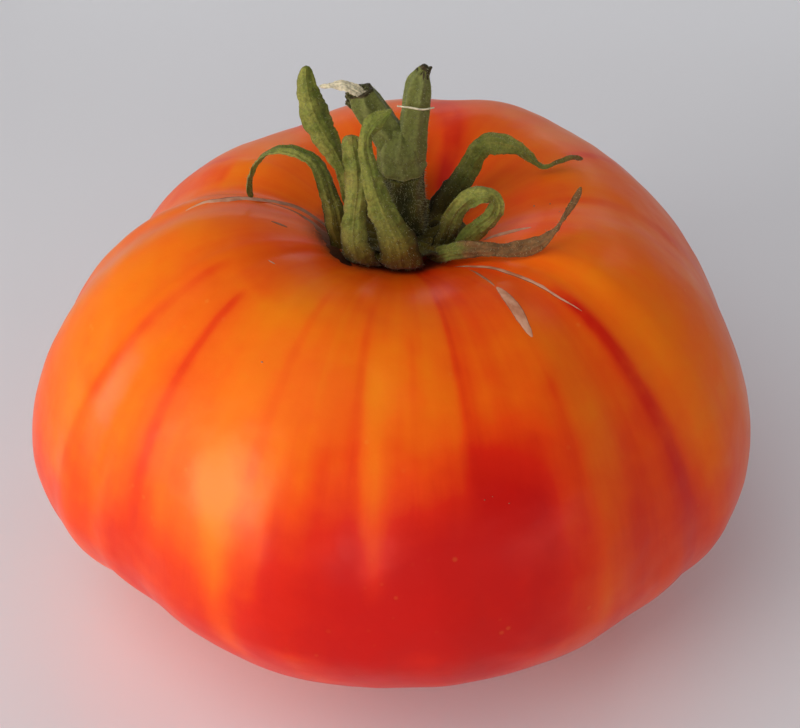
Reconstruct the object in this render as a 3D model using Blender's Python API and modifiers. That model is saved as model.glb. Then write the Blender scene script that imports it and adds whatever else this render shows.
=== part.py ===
"""A ribbed slicing tomato with its calyx and a broken piece of truss stem.

Metres, +Z up. The origin is the centre of the flat spot the fruit rests on.
Four bodies: fruit, calyx, pedicel and truss_stub.
"""
import math

import bmesh
import bpy
from mathutils import Matrix, Vector

MM = 0.001

# Fruit: half widths, heights of the crown and the base measured from the widest level
HALF_WIDTH_X = 55.0
HALF_WIDTH_Y = 56.6
CROWN_HEIGHT = 45.6
BASE_HEIGHT = 29.5
PLAN_FULLNESS = 0.92
CROWN_FULLNESS = 1.06
CAVITY_DEPTH = 16.4
CAVITY_RADIUS = 20.6
FOOT_CUT = 0.75
FRUIT_SEGMENTS = 96
FRUIT_RINGS = 36
FOOT_RING = 34

# Grooves between the lobes: azimuth, half width (degrees), depth on the shoulder, depth on the flank
GROOVES = (
    (-150.5, 5.0, 0.5, 0.5),
    (-134.0, 6.0, 0.3, 1.2),
    (-115.0, 5.0, 0.1, 0.2),
    (-97.0, 6.0, 0.5, 0.5),
    (-87.0, 4.5, 0.1, 0.4),
    (-76.0, 6.0, 0.6, 0.2),
    (-58.0, 6.0, 0.2, 0.3),
    (-37.0, 7.0, 1.6, 0.4),
    (6.0, 9.0, 1.8, 1.6),
    (42.5, 9.0, 0.6, 1.5),
    (83.0, 8.0, 1.2, 1.3),
    (122.5, 8.0, 2.6, 1.2),
    (150.0, 8.0, 0.4, 1.0),
    (-179.0, 8.0, 0.6, 1.1),
)

# Lobes: azimuth (degrees), how far the skin stands out or in there
LOBES = (
    (-179.0, 0.7),
    (-164.5, 3.4),
    (-151.0, 2.7),
    (-142.0, 0.1),
    (-125.0, -0.8),
    (-106.0, -0.3),
    (-87.0, -0.6),
    (-67.0, -0.8),
    (-58.0, -0.6),
    (-47.5, -1.1),
    (-37.0, 0.1),
    (-26.0, 1.5),
    (-15.5, 1.7),
    (6.0, 1.2),
    (24.5, 0.8),
    (42.5, 1.4),
    (63.0, 2.2),
    (83.0, 0.7),
    (103.0, -1.1),
    (122.5, -1.7),
    (136.5, -2.6),
    (150.0, -2.8),
    (166.0, -4.6),
)

# Calyx: the cup the sepals grow from
CUP_X = 1.0
CUP_RADIUS = 9.2
CUP_THICKNESS = 1.8
CUP_CLEARANCE = 0.75
BLADE_THICKNESS = 0.8
BLADE_ROWS = 15
BLADE_COLUMNS = 4

# Sepals, millimetres. Each has the direction its inner face looks at the base and at the tip
# (degrees), how deeply it is cupped, and stations: right, back, height, width
SEPALS = (
    (-20.0, -75.0, 0.30, (
        (-3.5, 2.2, 60.4, 5.6),
        (-7.4, 4.8, 61.8, 5.4),
        (-8.9, 5.7, 65.9, 4.2),
        (-9.9, 6.3, 69.0, 3.6),
        (-11.3, 7.1, 72.0, 3.6),
        (-12.8, 8.0, 74.5, 3.7),
        (-13.8, 8.6, 77.5, 3.0),
        (-14.4, 8.9, 80.6, 2.0),
        (-14.7, 9.0, 83.6, 0.9),
    )),
    (60.0, 0.0, 0.25, (
        (-3.0, -2.4, 60.8, 5.0),
        (-7.2, -4.9, 62.3, 4.4),
        (-8.8, -4.8, 64.0, 3.8),
        (-9.8, -4.8, 67.5, 3.3),
        (-10.9, -4.6, 71.1, 3.3),
        (-12.2, -4.0, 74.7, 3.4),
        (-14.4, -3.4, 76.1, 2.5),
        (-18.4, -2.5, 75.9, 1.4),
        (-20.9, -2.0, 74.2, 1.1),
        (-22.5, -1.4, 71.6, 1.0),
        (-22.9, -0.9, 68.8, 0.9),
        (-22.2, 0.0, 66.6, 0.7),
    )),
    (65.0, 75.0, 0.40, (
        (-2.6, -5.0, 60.6, 5.6),
        (-5.2, -8.5, 62.2, 5.4),
        (-5.8, -8.4, 66.0, 4.6),
        (-6.6, -7.6, 69.0, 3.7),
        (-6.9, -6.9, 71.9, 3.2),
        (-6.9, -6.5, 75.0, 3.0),
        (-7.1, -6.5, 78.2, 3.1),
        (-7.6, -6.7, 81.2, 2.3),
    )),
    (95.0, 40.0, 0.25, (
        (0.8, -5.0, 60.6, 6.4),
        (0.7, -8.9, 61.8, 6.6),
        (-0.9, -9.2, 65.9, 5.2),
        (-2.4, -9.0, 69.2, 3.9),
        (-3.7, -8.8, 72.5, 3.3),
        (-5.1, -8.6, 75.6, 3.0),
        (-6.2, -8.4, 78.9, 2.7),
        (-5.9, -7.9, 81.6, 2.3),
        (-4.6, -7.3, 83.8, 1.8),
        (-2.4, -6.5, 86.0, 0.8),
    )),
    (150.0, 130.0, 0.20, (
        (4.2, -3.6, 60.5, 4.6),
        (6.4, -6.5, 61.5, 4.4),
        (8.6, -7.6, 62.6, 2.9),
        (10.8, -8.4, 64.0, 2.2),
        (13.4, -10.0, 65.4, 1.6),
        (15.2, -10.9, 66.0, 1.8),
        (17.0, -11.5, 66.7, 2.5),
        (19.0, -12.0, 67.8, 2.2),
        (20.9, -12.3, 69.3, 1.5),
        (22.3, -12.4, 71.0, 1.0),
        (23.4, -12.5, 73.4, 0.8),
        (24.3, -12.7, 76.4, 0.8),
        (24.7, -12.7, 78.2, 0.8),
    )),
    (165.0, 150.0, 0.15, (
        (4.4, -1.6, 60.5, 4.2),
        (6.8, -3.0, 61.3, 4.2),
        (6.8, -3.3, 64.0, 3.4),
        (7.3, -3.5, 67.0, 3.3),
        (8.5, -3.8, 69.3, 3.5),
        (10.6, -4.2, 71.4, 3.5),
        (12.6, -4.4, 71.8, 3.1),
        (14.1, -4.4, 70.4, 2.5),
        (14.0, -4.2, 68.0, 2.8),
        (12.8, -3.9, 65.8, 3.2),
        (11.2, -3.6, 63.9, 2.6),
        (9.8, -3.3, 62.9, 1.0),
    )),
    (-120.0, -110.0, 0.20, (
        (3.6, 3.2, 60.8, 5.0),
        (6.2, 6.0, 62.3, 4.8),
        (8.0, 6.5, 64.2, 4.6),
        (9.2, 6.7, 67.0, 4.1),
        (10.1, 6.9, 69.5, 3.4),
        (11.1, 7.1, 71.4, 3.0),
        (12.7, 7.4, 72.2, 3.0),
        (14.6, 7.7, 72.0, 3.1),
        (16.9, 8.2, 71.2, 2.7),
        (19.3, 8.8, 69.4, 2.0),
        (21.2, 9.3, 68.1, 1.3),
        (23.2, 9.8, 68.2, 1.0),
        (25.6, 10.3, 68.8, 0.9),
        (27.4, 10.6, 68.5, 0.8),
    )),
    (-90.0, -90.0, 0.25, (
        (0.6, 4.6, 60.4, 5.4),
        (0.6, 8.2, 61.6, 5.2),
        (0.7, 9.4, 64.6, 4.6),
        (0.8, 11.0, 67.6, 4.0),
        (1.0, 13.6, 69.4, 3.2),
        (1.2, 17.0, 69.7, 2.2),
        (1.4, 20.0, 68.2, 0.9),
    )),
)

# Stem pieces, millimetres: right, back, height, radius
PEDICEL = (
    (0.9, 0.0, 61.8, 2.9),
    (0.8, 0.0, 63.5, 3.0),
    (0.3, 0.0, 67.5, 3.1),
    (-0.1, 0.0, 70.0, 3.3),
    (-0.4, 0.0, 71.8, 3.5),
)
STUB_TRUNK = (
    (-0.4, 0.0, 72.2, 3.6),
    (-0.4, 0.0, 73.0, 3.75),
    (-0.5, 0.0, 74.2, 3.5),
    (-0.6, 0.1, 76.0, 3.4),
    (-0.6, 0.1, 77.8, 2.7),
    (-0.6, 0.1, 79.2, 1.6),
)
RIGHT_BRANCH = (
    (0.6, 0.0, 74.2, 2.6),
    (0.9, 0.0, 76.6, 2.5),
    (1.2, 0.0, 79.5, 2.2),
    (1.5, 0.0, 83.0, 2.1),
    (1.7, 0.0, 86.2, 1.9),
    (2.1, 0.0, 87.9, 1.2),
    (2.6, 0.0, 89.2, 0.5),
)
LEFT_BRANCH = (
    (-1.2, 0.2, 74.2, 2.5),
    (-1.9, 0.4, 76.6, 2.6),
    (-3.5, 0.8, 79.2, 2.5),
    (-5.2, 1.0, 81.5, 2.3),
    (-6.3, 1.0, 83.1, 2.1),
    (-6.9, 1.0, 84.2, 1.7),
)
STEM_SIDES = 18
BRANCH_SIDES = 14


def ease(x):
    """Smooth step from 0 to 1."""
    x = min(max(x, 0.0), 1.0)
    return x * x * (3.0 - 2.0 * x)


def turn(a):
    """Angle in degrees brought between -180 and 180."""
    return (a + 180.0) % 360.0 - 180.0


def lobe_height(azimuth):
    """How far the skin stands out at this azimuth, in millimetres."""
    order = sorted(LOBES)
    ring = [(order[-1][0] - 360.0, order[-1][1])] + order + [(order[0][0] + 360.0, order[0][1])]
    for (a0, h0), (a1, h1) in zip(ring, ring[1:]):
        if a0 <= azimuth <= a1:
            t = (1.0 - math.cos(math.pi * (azimuth - a0) / (a1 - a0))) / 2.0
            return h0 + (h1 - h0) * t
    return 0.0


def skin(azimuth, polar):
    """Point of the skin in millimetres; polar is measured from the top."""
    s = abs(math.sin(polar))
    c = math.cos(polar)
    reach = s ** PLAN_FULLNESS
    if c > 0.0:
        z = BASE_HEIGHT + CROWN_HEIGHT * c ** CROWN_FULLNESS
        z -= CAVITY_DEPTH * math.exp(-((HALF_WIDTH_X * reach / CAVITY_RADIUS) ** 2))
    else:
        z = BASE_HEIGHT * (1.0 - abs(c) ** CROWN_FULLNESS)
    top = ease((c + 0.15) / 0.75)
    swell = lobe_height(azimuth) * s ** 0.8
    grip = s ** 0.9
    if c < 0.0:
        grip *= ease(1.0 + 1.05 * c)
    for where, half, shoulder, flank in GROOVES:
        d = turn(azimuth - where) / (half * (1.0 + 0.6 * top))
        swell -= (shoulder * top + flank * (1.0 - top)) * math.exp(-d * d) * grip
    lift = swell * c * ease((1.0 + c) / 0.25)
    a = math.radians(azimuth)
    x = (HALF_WIDTH_X * reach + swell * s) * math.cos(a)
    y = (HALF_WIDTH_Y * reach + swell * s) * math.sin(a)
    return Vector((x, y, max(z + lift - FOOT_CUT, 0.0)))


def floor_height(radius):
    """Height of the stem cavity's floor at this distance from the middle."""
    s = (radius / HALF_WIDTH_X) ** (1.0 / PLAN_FULLNESS)
    return skin(24.5, math.asin(min(s, 1.0))).z


def material(name, colour, roughness):
    mat = bpy.data.materials.new(name)
    mat.use_nodes = True
    shader = mat.node_tree.nodes["Principled BSDF"]
    shader.inputs["Base Color"].default_value = (*colour, 1.0)
    shader.inputs["Roughness"].default_value = roughness
    shader.inputs["Metallic"].default_value = 0.0
    return mat


def place(name, bm, group):
    """Turn a bmesh into an object of the group, in metres."""
    bmesh.ops.recalc_face_normals(bm, faces=bm.faces)
    bmesh.ops.scale(bm, vec=(MM, MM, MM), verts=bm.verts)
    mesh = bpy.data.meshes.new(name)
    bm.to_mesh(mesh)
    bm.free()
    obj = bpy.data.objects.new(name, mesh)
    group.objects.link(obj)
    return obj


def spline(stations, t):
    """Smooth curve through the stations; t runs from 0 to 1 along their length."""
    points = [Vector(p) for p in stations]
    steps = [(b.xyz - a.xyz).length for a, b in zip(points, points[1:])]
    goal = t * sum(steps)
    i = 0
    while i < len(steps) - 1 and goal > steps[i]:
        goal -= steps[i]
        i += 1
    u = min(goal / steps[i], 1.0)
    p1, p2 = points[i], points[i + 1]
    p0 = points[i - 1] if i > 0 else p1 * 2.0 - p2
    p3 = points[i + 2] if i + 2 < len(points) else p2 * 2.0 - p1
    out = p1 * 2.0 + (p2 - p0) * u
    out += (p0 * 2.0 - p1 * 5.0 + p2 * 4.0 - p3) * (u * u)
    out += (p1 * 3.0 - p0 - p2 * 3.0 + p3) * (u * u * u)
    return out * 0.5


def tangent(stations, t):
    lo = max(t - 0.01, 0.0)
    hi = min(t + 0.01, 1.0)
    return (spline(stations, hi).xyz - spline(stations, lo).xyz).normalized()


def fruit_body(group):
    """The fruit: a ball moved to the ribbed skin, closed underneath by one flat foot."""
    bm = bmesh.new()
    bmesh.ops.create_uvsphere(bm, u_segments=FRUIT_SEGMENTS, v_segments=FRUIT_RINGS, radius=1.0)
    foot = math.pi * (FOOT_RING - 0.5) / FRUIT_RINGS
    under = set()
    for v in bm.verts:
        polar = math.acos(min(max(v.co.z, -1.0), 1.0))
        azimuth = math.degrees(math.atan2(v.co.y, v.co.x))
        if polar > foot:
            under.add(v)
        v.co = skin(azimuth, polar)
    for v in under:
        v.co.z = 0.0
    flat = [f for f in bm.faces if all(v in under for v in f.verts)]
    bmesh.ops.dissolve_faces(bm, faces=flat, use_verts=False)
    return place("fruit", bm, group)


def cup_body(group):
    """The cup under the sepals: a thick lens lying just above the cavity floor."""
    bm = bmesh.new()
    bmesh.ops.create_uvsphere(bm, u_segments=24, v_segments=10, radius=1.0)
    for v in bm.verts:
        spread = Vector((v.co.x, v.co.y))
        radius = CUP_RADIUS * spread.length
        up = floor_height(radius + abs(CUP_X)) + CUP_CLEARANCE + CUP_THICKNESS * (1.0 + v.co.z) / 2.0
        v.co = Vector((CUP_X + CUP_RADIUS * v.co.x, CUP_RADIUS * v.co.y, up))
    return place("cup", bm, group)


def blade_body(name, sepal, group):
    """One sepal: a cupped strip swept along its stations and given thickness."""
    base_look, tip_look, cupping, stations = sepal
    bm = bmesh.new()
    bmesh.ops.create_grid(bm, x_segments=BLADE_ROWS, y_segments=BLADE_COLUMNS, size=1.0)
    for v in bm.verts:
        t = (v.co.x + 1.0) / 2.0
        across = v.co.y
        here = spline(stations, t)
        along = tangent(stations, t)
        look = math.radians(base_look + turn(tip_look - base_look) * t)
        side = Vector((-math.sin(look), math.cos(look), 0.0))
        side = (side - along * side.dot(along)).normalized()
        face = side.cross(along).normalized()
        half = max(here.w, 0.7) / 2.0
        bow = cupping * ease((t - 0.08) / 0.25) * half * (1.0 - across * across)
        v.co = here.xyz + side * (across * half) + face * bow
    bmesh.ops.triangulate(bm, faces=bm.faces)
    obj = place(name, bm, group)
    wall = obj.modifiers.new("thickness", "SOLIDIFY")
    wall.thickness = BLADE_THICKNESS * MM
    wall.offset = 0.0
    return obj


def stem_body(name, stations, sides, rows, group, level=False):
    """A tapering stem: circles along the stations, bridged and capped; level keeps them flat."""
    bm = bmesh.new()
    loops = []
    for k in range(rows):
        t = k / (rows - 1)
        here = spline(stations, t)
        facing = tangent(stations, t).to_track_quat("Z", "Y").to_matrix().to_4x4()
        if level:
            facing = Matrix.Identity(4)
        ring = bmesh.ops.create_circle(
            bm,
            cap_ends=k in (0, rows - 1),
            segments=sides,
            radius=here.w,
            matrix=Matrix.Translation(here.xyz) @ facing,
        )["verts"]
        loops.append(set(ring))
    for low, high in zip(loops, loops[1:]):
        edges = [e for e in bm.edges if set(e.verts) <= low or set(e.verts) <= high]
        bmesh.ops.bridge_loops(bm, edges=edges)
    return place(name, bm, group)


def apply_modifiers(obj):
    """Replace the mesh by what the modifiers make of it."""
    bpy.context.view_layer.update()
    graph = bpy.context.evaluated_depsgraph_get()
    mesh = bpy.data.meshes.new_from_object(obj.evaluated_get(graph))
    obj.modifiers.clear()
    obj.data = mesh


def fuse(name, target, others):
    """Join a collection of bodies to the target, then remove the collection."""
    union = target.modifiers.new("union", "BOOLEAN")
    union.operation = "UNION"
    union.operand_type = "COLLECTION"
    union.collection = others
    union.solver = "EXACT"
    apply_modifiers(target)
    for obj in list(others.objects):
        bpy.data.objects.remove(obj, do_unlink=True)
    bpy.data.collections.remove(others)
    target.name = name


def group_named(name, hidden):
    group = bpy.data.collections.new(name)
    bpy.context.scene.collection.children.link(group)
    group.hide_render = hidden
    return group


def main():
    for obj in list(bpy.data.objects):
        bpy.data.objects.remove(obj, do_unlink=True)
    tomato = group_named("tomato", False)

    fruit = fruit_body(tomato)
    fruit.data.materials.append(material("skin", (0.78, 0.16, 0.02), 0.3))

    blades = group_named("sepals", True)
    for i, sepal in enumerate(SEPALS):
        blade = blade_body("sepal_%d" % (i + 1), sepal, blades)
        blade.display_type = "WIRE"
        apply_modifiers(blade)
    calyx = cup_body(tomato)
    fuse("calyx", calyx, blades)
    calyx.data.materials.clear()
    calyx.data.materials.append(material("sepal_green", (0.11, 0.15, 0.03), 0.7))

    pedicel = stem_body("pedicel", PEDICEL, STEM_SIDES, 6, tomato, level=True)
    pedicel.data.materials.append(material("stalk_green", (0.05, 0.07, 0.02), 0.8))

    arms = group_named("branches", True)
    for name, stations in (("right_branch", RIGHT_BRANCH), ("left_branch", LEFT_BRANCH)):
        arm = stem_body(name, stations, BRANCH_SIDES, 8, arms)
        arm.display_type = "WIRE"
    stub = stem_body("stub", STUB_TRUNK, STEM_SIDES, 8, tomato, level=True)
    fuse("truss_stub", stub, arms)
    stub.data.materials.clear()
    stub.data.materials.append(material("truss_green", (0.10, 0.15, 0.04), 0.75))


main()
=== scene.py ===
"""Ribbed slicing tomato with its calyx and a piece of truss, dressed round the CAD frame."""
import math

import bmesh
import bpy
import numpy as np
from mathutils import Matrix, Vector, noise


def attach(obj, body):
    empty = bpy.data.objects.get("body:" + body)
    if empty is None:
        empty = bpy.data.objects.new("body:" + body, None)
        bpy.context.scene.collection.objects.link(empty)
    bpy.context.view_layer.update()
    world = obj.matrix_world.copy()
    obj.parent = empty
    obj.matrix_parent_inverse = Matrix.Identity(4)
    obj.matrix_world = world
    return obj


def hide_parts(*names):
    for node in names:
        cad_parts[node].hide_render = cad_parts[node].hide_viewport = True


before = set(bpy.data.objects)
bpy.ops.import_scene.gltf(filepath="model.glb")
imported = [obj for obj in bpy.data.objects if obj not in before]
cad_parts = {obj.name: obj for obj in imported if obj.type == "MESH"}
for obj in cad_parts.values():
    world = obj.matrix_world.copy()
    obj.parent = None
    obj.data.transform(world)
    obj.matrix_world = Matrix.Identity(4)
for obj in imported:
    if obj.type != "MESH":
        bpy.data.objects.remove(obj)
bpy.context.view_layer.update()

bl_info = {
    "name": "Ribbed tomato",
    "version": (1, 0, 0),
    "blender": (4, 5, 0),
    "location": "View3D > Sidebar > Tomato",
    "description": "Builds a ribbed tomato, its calyx and stem, and a plain studio round it",
    "category": "Add Mesh",
}

MM = 0.001

# Hairs: how many are made in one mesh, how much they lean, how deep they are rooted (metres)
HAIRS_A_BATCH = 100
HAIR_LEAN = 0.35
HAIR_ROOT = 0.00003

# Fruit form, millimetres, the same named values as the part's source
HALF_WIDTH_X = 55.0
HALF_WIDTH_Y = 56.6
CROWN_HEIGHT = 45.6
BASE_HEIGHT = 29.5
PLAN_FULLNESS = 0.92
CROWN_FULLNESS = 1.06
CAVITY_DEPTH = 16.4
CAVITY_RADIUS = 20.6
FOOT_CUT = 0.75

# The skin's natural unevenness: widths of its bumps (mm), share of the fine ones, and the height
# from which it sets in, so that the foot stays flat
UNEVEN_BROAD = 9.0
UNEVEN_FINE = 3.5
UNEVEN_FINE_SHARE = 0.4
UNEVEN_FROM = 1.0
UNEVEN_OVER = 6.0

# Directions on the fruit: azimuth in degrees, anticlockwise from the right, -90 facing the camera,
# and polar angle in degrees, from the top

# Grooves: azimuth, half width (degrees), depth on the shoulder, depth on the flank (mm)
GROOVES = (
    (-150.5, 5.0, 0.5, 0.5), (-134.0, 6.0, 0.3, 1.2), (-115.0, 5.0, 0.1, 0.2),
    (-97.0, 6.0, 0.5, 0.5), (-87.0, 4.5, 0.1, 0.4), (-76.0, 6.0, 0.6, 0.2),
    (-58.0, 6.0, 0.2, 0.3), (-37.0, 7.0, 1.6, 0.4), (6.0, 9.0, 1.8, 1.6),
    (42.5, 9.0, 0.6, 1.5), (83.0, 8.0, 1.2, 1.3), (122.5, 8.0, 2.6, 1.2),
    (150.0, 8.0, 0.4, 1.0), (-179.0, 8.0, 0.6, 1.1),
)

# Lobes: azimuth (degrees), how far the skin stands out there (mm)
LOBES = (
    (-179.0, 0.7), (-164.5, 3.4), (-151.0, 2.7), (-142.0, 0.1), (-125.0, -0.8), (-106.0, -0.3),
    (-87.0, -0.6), (-67.0, -0.8), (-58.0, -0.6), (-47.5, -1.1), (-37.0, 0.1), (-26.0, 1.5),
    (-15.5, 1.7), (6.0, 1.2), (24.5, 0.8), (42.5, 1.4), (63.0, 2.2), (83.0, 0.7),
    (103.0, -1.1), (122.5, -1.7), (136.5, -2.6), (150.0, -2.8), (166.0, -4.6),
)

# Ripening: azimuth, polar angle where the red is half risen, softness (degrees), tone of the
# shoulder and of the flank (0 pale orange, 0.5 flame, 1 deepest red)
BLUSH = (
    (-180, 70, 22, 0.16, 0.50), (-165, 72, 20, 0.10, 0.50), (-153, 74, 16, 0.15, 0.60),
    (-147, 69, 16, 0.14, 0.64), (-142, 73, 14, 0.12, 0.62), (-136, 69, 14, 0.16, 0.70),
    (-129, 71, 14, 0.13, 0.72), (-121, 74, 14, 0.08, 0.76), (-112, 73, 14, 0.14, 0.84),
    (-107, 61, 17, 0.20, 0.92), (-101, 59, 16, 0.23, 0.95), (-97, 55, 15, 0.25, 1.00),
    (-91, 57, 14, 0.18, 1.00), (-86, 58, 11, 0.20, 1.00), (-80, 56, 11, 0.22, 1.00),
    (-75, 51, 10, 0.37, 1.00), (-66, 52, 10, 0.41, 0.97), (-61, 51, 14, 0.34, 0.76),
    (-55, 60, 18, 0.28, 0.66), (-48, 58, 16, 0.31, 0.66), (-42, 60, 18, 0.28, 0.62),
    (-36, 68, 18, 0.22, 0.62), (-29, 78, 16, 0.17, 0.58), (-15, 82, 22, 0.20, 0.50),
    (8, 80, 26, 0.22, 0.60), (25, 72, 24, 0.19, 0.60), (45, 66, 20, 0.18, 0.70),
    (62, 60, 20, 0.18, 0.80), (80, 54, 22, 0.24, 0.90), (100, 62, 20, 0.16, 0.80),
    (125, 66, 20, 0.17, 0.75), (145, 60, 20, 0.16, 0.80), (160, 56, 22, 0.18, 0.70),
)

# The stem cavity is a little riper, and the red fades again towards the foot
CAVITY_BLUSH = 0.16
CAVITY_BLUSH_FROM = 30.0
CAVITY_BLUSH_OVER = 14.0
FOOT_FADING = 0.40
FOOT_FADING_FROM = 93.0
FOOT_FADING_OVER = 47.0

# Tongues of paler or riper skin: azimuth at top and bottom, half width, polar angle from, to,
# how much riper
TONGUES = (
    (-120, -114, 3.4, 58, 102, -0.30), (-95.5, -92.5, 2.6, 36, 75, -0.27),
    (-51, -58, 5.2, 46, 96, -0.16), (-32, -33, 5.0, 40, 76, -0.08),
    (-151, -152, 4.0, 62, 82, -0.18), (-102, -102, 3.6, 50, 66, 0.12),
    (-68, -68, 7.0, 50, 64, 0.10), (-47, -48, 4.0, 64, 84, 0.04), (-84, -82, 4.0, 88, 110, -0.16),
    (-104, -100, 4.0, 92, 112, -0.22), (-66, -66, 5.0, 94, 114, -0.18),
    (-14, -14, 5.0, 16, 26, 0.16), (140, 142, 4.0, 40, 75, -0.26), (112, 110, 4.0, 44, 80, 0.22),
    (60, 58, 5.0, 50, 85, -0.26), (20, 22, 4.0, 55, 90, 0.18), (84, 84, 3.0, 40, 75, 0.22),
)

# Red streaks along grooves, each with a faint wide halo of painted shade: azimuth at top and
# bottom, half width, polar angle from, to, strength
STREAKS = (
    (-147, -150, 0.9, 30, 80, 0.50), (-136, -134, 1.0, 32, 78, 0.54),
    (-99, -96, 0.9, 24, 68, 0.30), (-77, -76, 0.8, 20, 66, 0.50), (-57.5, -59, 0.8, 42, 74, 0.30),
    (-40, -36.5, 1.7, 30, 80, 0.85), (6, 6, 1.8, 22, 62, 0.32), (60, 81, 5.0, 10, 34, 0.75),
    (158, 158, 4.0, 32, 48, 0.40), (-150, -136, 7.0, 12, 30, 0.30),
    (-114, -114, 1.0, 24, 60, 0.18), (-87, -86, 0.8, 30, 56, 0.18), (30, 34, 1.4, 30, 70, 0.45),
    (122, 120, 1.6, 30, 72, 0.5), (83, 84, 1.4, 34, 70, 0.45), (150, 151, 1.3, 34, 70, 0.4),
)

# Corky skin: the middle of the cavity, a patch beside the calyx and the blossom scar underneath;
# the patch is partly corky skin and partly painted shade of the cavity wall
CORK_MIDDLE = 0.8
CORK_MIDDLE_POLAR = 9.0
CORK_MIDDLE_SOFT = 2.5
CORK_AND_SHADE_PATCH = 1.3
CORK_AND_SHADE_PATCH_AZIMUTH = -160.0
CORK_AND_SHADE_PATCH_WIDTH = 42.0
CORK_AND_SHADE_PATCH_POLAR = 10.2
CORK_AND_SHADE_PATCH_SOFT = 2.6
BLOSSOM_SCAR_POLAR = 177.0
BLOSSOM_SCAR_SOFT = 1.5

# Healed cracks and marks: width at start and end (mm), how corky at start and end (past 1 the
# cork turns near black as painted shade of the cavity wall), side of the dark line (0 both),
# raggedness, path of azimuth and polar angle (degrees)
SCARS = (
    # Long crack right of the cavity
    ((0.95, 0.5), (0.30, 0.0), -1, 0.6, (
        (-46.5, 10.4), (-44.8, 12.2), (-42.8, 16.8), (-43.0, 21.5), (-42.2, 26.5),
        (-41.4, 30.8), (-39.4, 35.6))),
    # Short crack beside it
    ((0.4, 0.5), (0.6, 0.4), 0, 1.0, (
        (-48.8, 14.3), (-51.5, 17.5), (-53.2, 20.2), (-54.3, 22.6))),
    # Lens of pale healed tissue
    ((1.9, 1.9), (0.0, 0.0), 0, 0.25, (
        (-54.0, 22.9), (-55.2, 26.4), (-55.9, 29.8), (-56.3, 32.6), (-56.5, 35.2))),
    # Broad crack left of the cavity
    ((3.6, 1.1), (0.9, 0.0), -1, 0.8, (
        (181.0, 9.9), (173.5, 11.4), (168.0, 14.3), (169.2, 17.8), (176.8, 21.5), (180.8, 26.8),
        (181.0, 30.2), (183.0, 34.0))),
    # Corky edge of the cavity; its end, corky past 1, is painted shade of the cavity wall
    ((0.8, 4.2), (0.5, 1.5), 0, 1.0, (
        (177.5, 20.0), (178.2, 16.0), (179.8, 14.0), (184.0, 12.2), (196.5, 10.8), (208.8, 10.5),
        (221.5, 10.8), (234.0, 11.0))),
    # Small lens behind the low sepal
    ((1.2, 1.1), (0.2, 0.2), 0, 0.6, (
        (-15.4, 11.4), (-13.8, 13.8), (-13.2, 16.0), (-12.6, 18.6))),
    # Two small marks
    ((0.5, 0.5), (0.6, 0.6), 0, 1.0, ((-163.2, 18.9), (-160.8, 16.6))),
    ((0.35, 0.35), (0.3, 0.3), 0, 1.0, ((-142.0, 23.8), (-139.0, 23.5))),
)
# Height of a healed ribbon over the skin, how deep its edge and its root sink (mm)
SCAR_HEIGHT = 0.10
SCAR_SINK = 0.035
SCAR_ROOT = 0.15
SCAR_AROUND = 28
SCAR_ROWS = 120

# Corky specks: azimuth, polar angle, radius (mm)
SPECKS = (
    (-120.0, 40.5, 0.24), (5.8, 19.2, 0.26), (4.8, 21.8, 0.22), (-2.0, 23.0, 0.18),
    (0.8, 24.2, 0.20), (-75.2, 58.9, 0.14), (-73.8, 58.6, 0.10), (-71.2, 60.2, 0.14),
)
SPECK_HEIGHT = 0.06
SPECK_SINK = 0.01

# Cup of the calyx, millimetres
CUP_X = 1.0
CUP_RADIUS = 8.6
CUP_THICKNESS = 1.5
CUP_CLEARANCE = 0.75
CUP_RIDGE = 0.35
CUP_RIDGE_RADIUS = 5.5
CUP_RIDGES = 17
CUP_LOBES = 8

# Blades, millimetres where they are lengths: depth of the midrib and of the groove over it, with
# their half widths as a share of the blade's, and how far the edge wavers and frays
RIB_DEPTH = 0.28
RIB_WIDTH = 0.16
GROOVE_DEPTH = 0.14
GROOVE_WIDTH = 0.10
EDGE_WAVER = 0.16
EDGE_FRAY = 0.07
LEAST_WIDTH = 0.3
BASE_END = 0.28

# Seeds of the unevenness of each piece
SEPAL_SEED = 20
SEPAL_SEED_STEP = 5
STALK_SEED = 61
TRUNK_SEED = 62
RIGHT_SEED = 63
LEFT_SEED = 64
ENDS_SEED = 65
FIBRE_SEED = 68
FLAKE_SEED = 90
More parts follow.
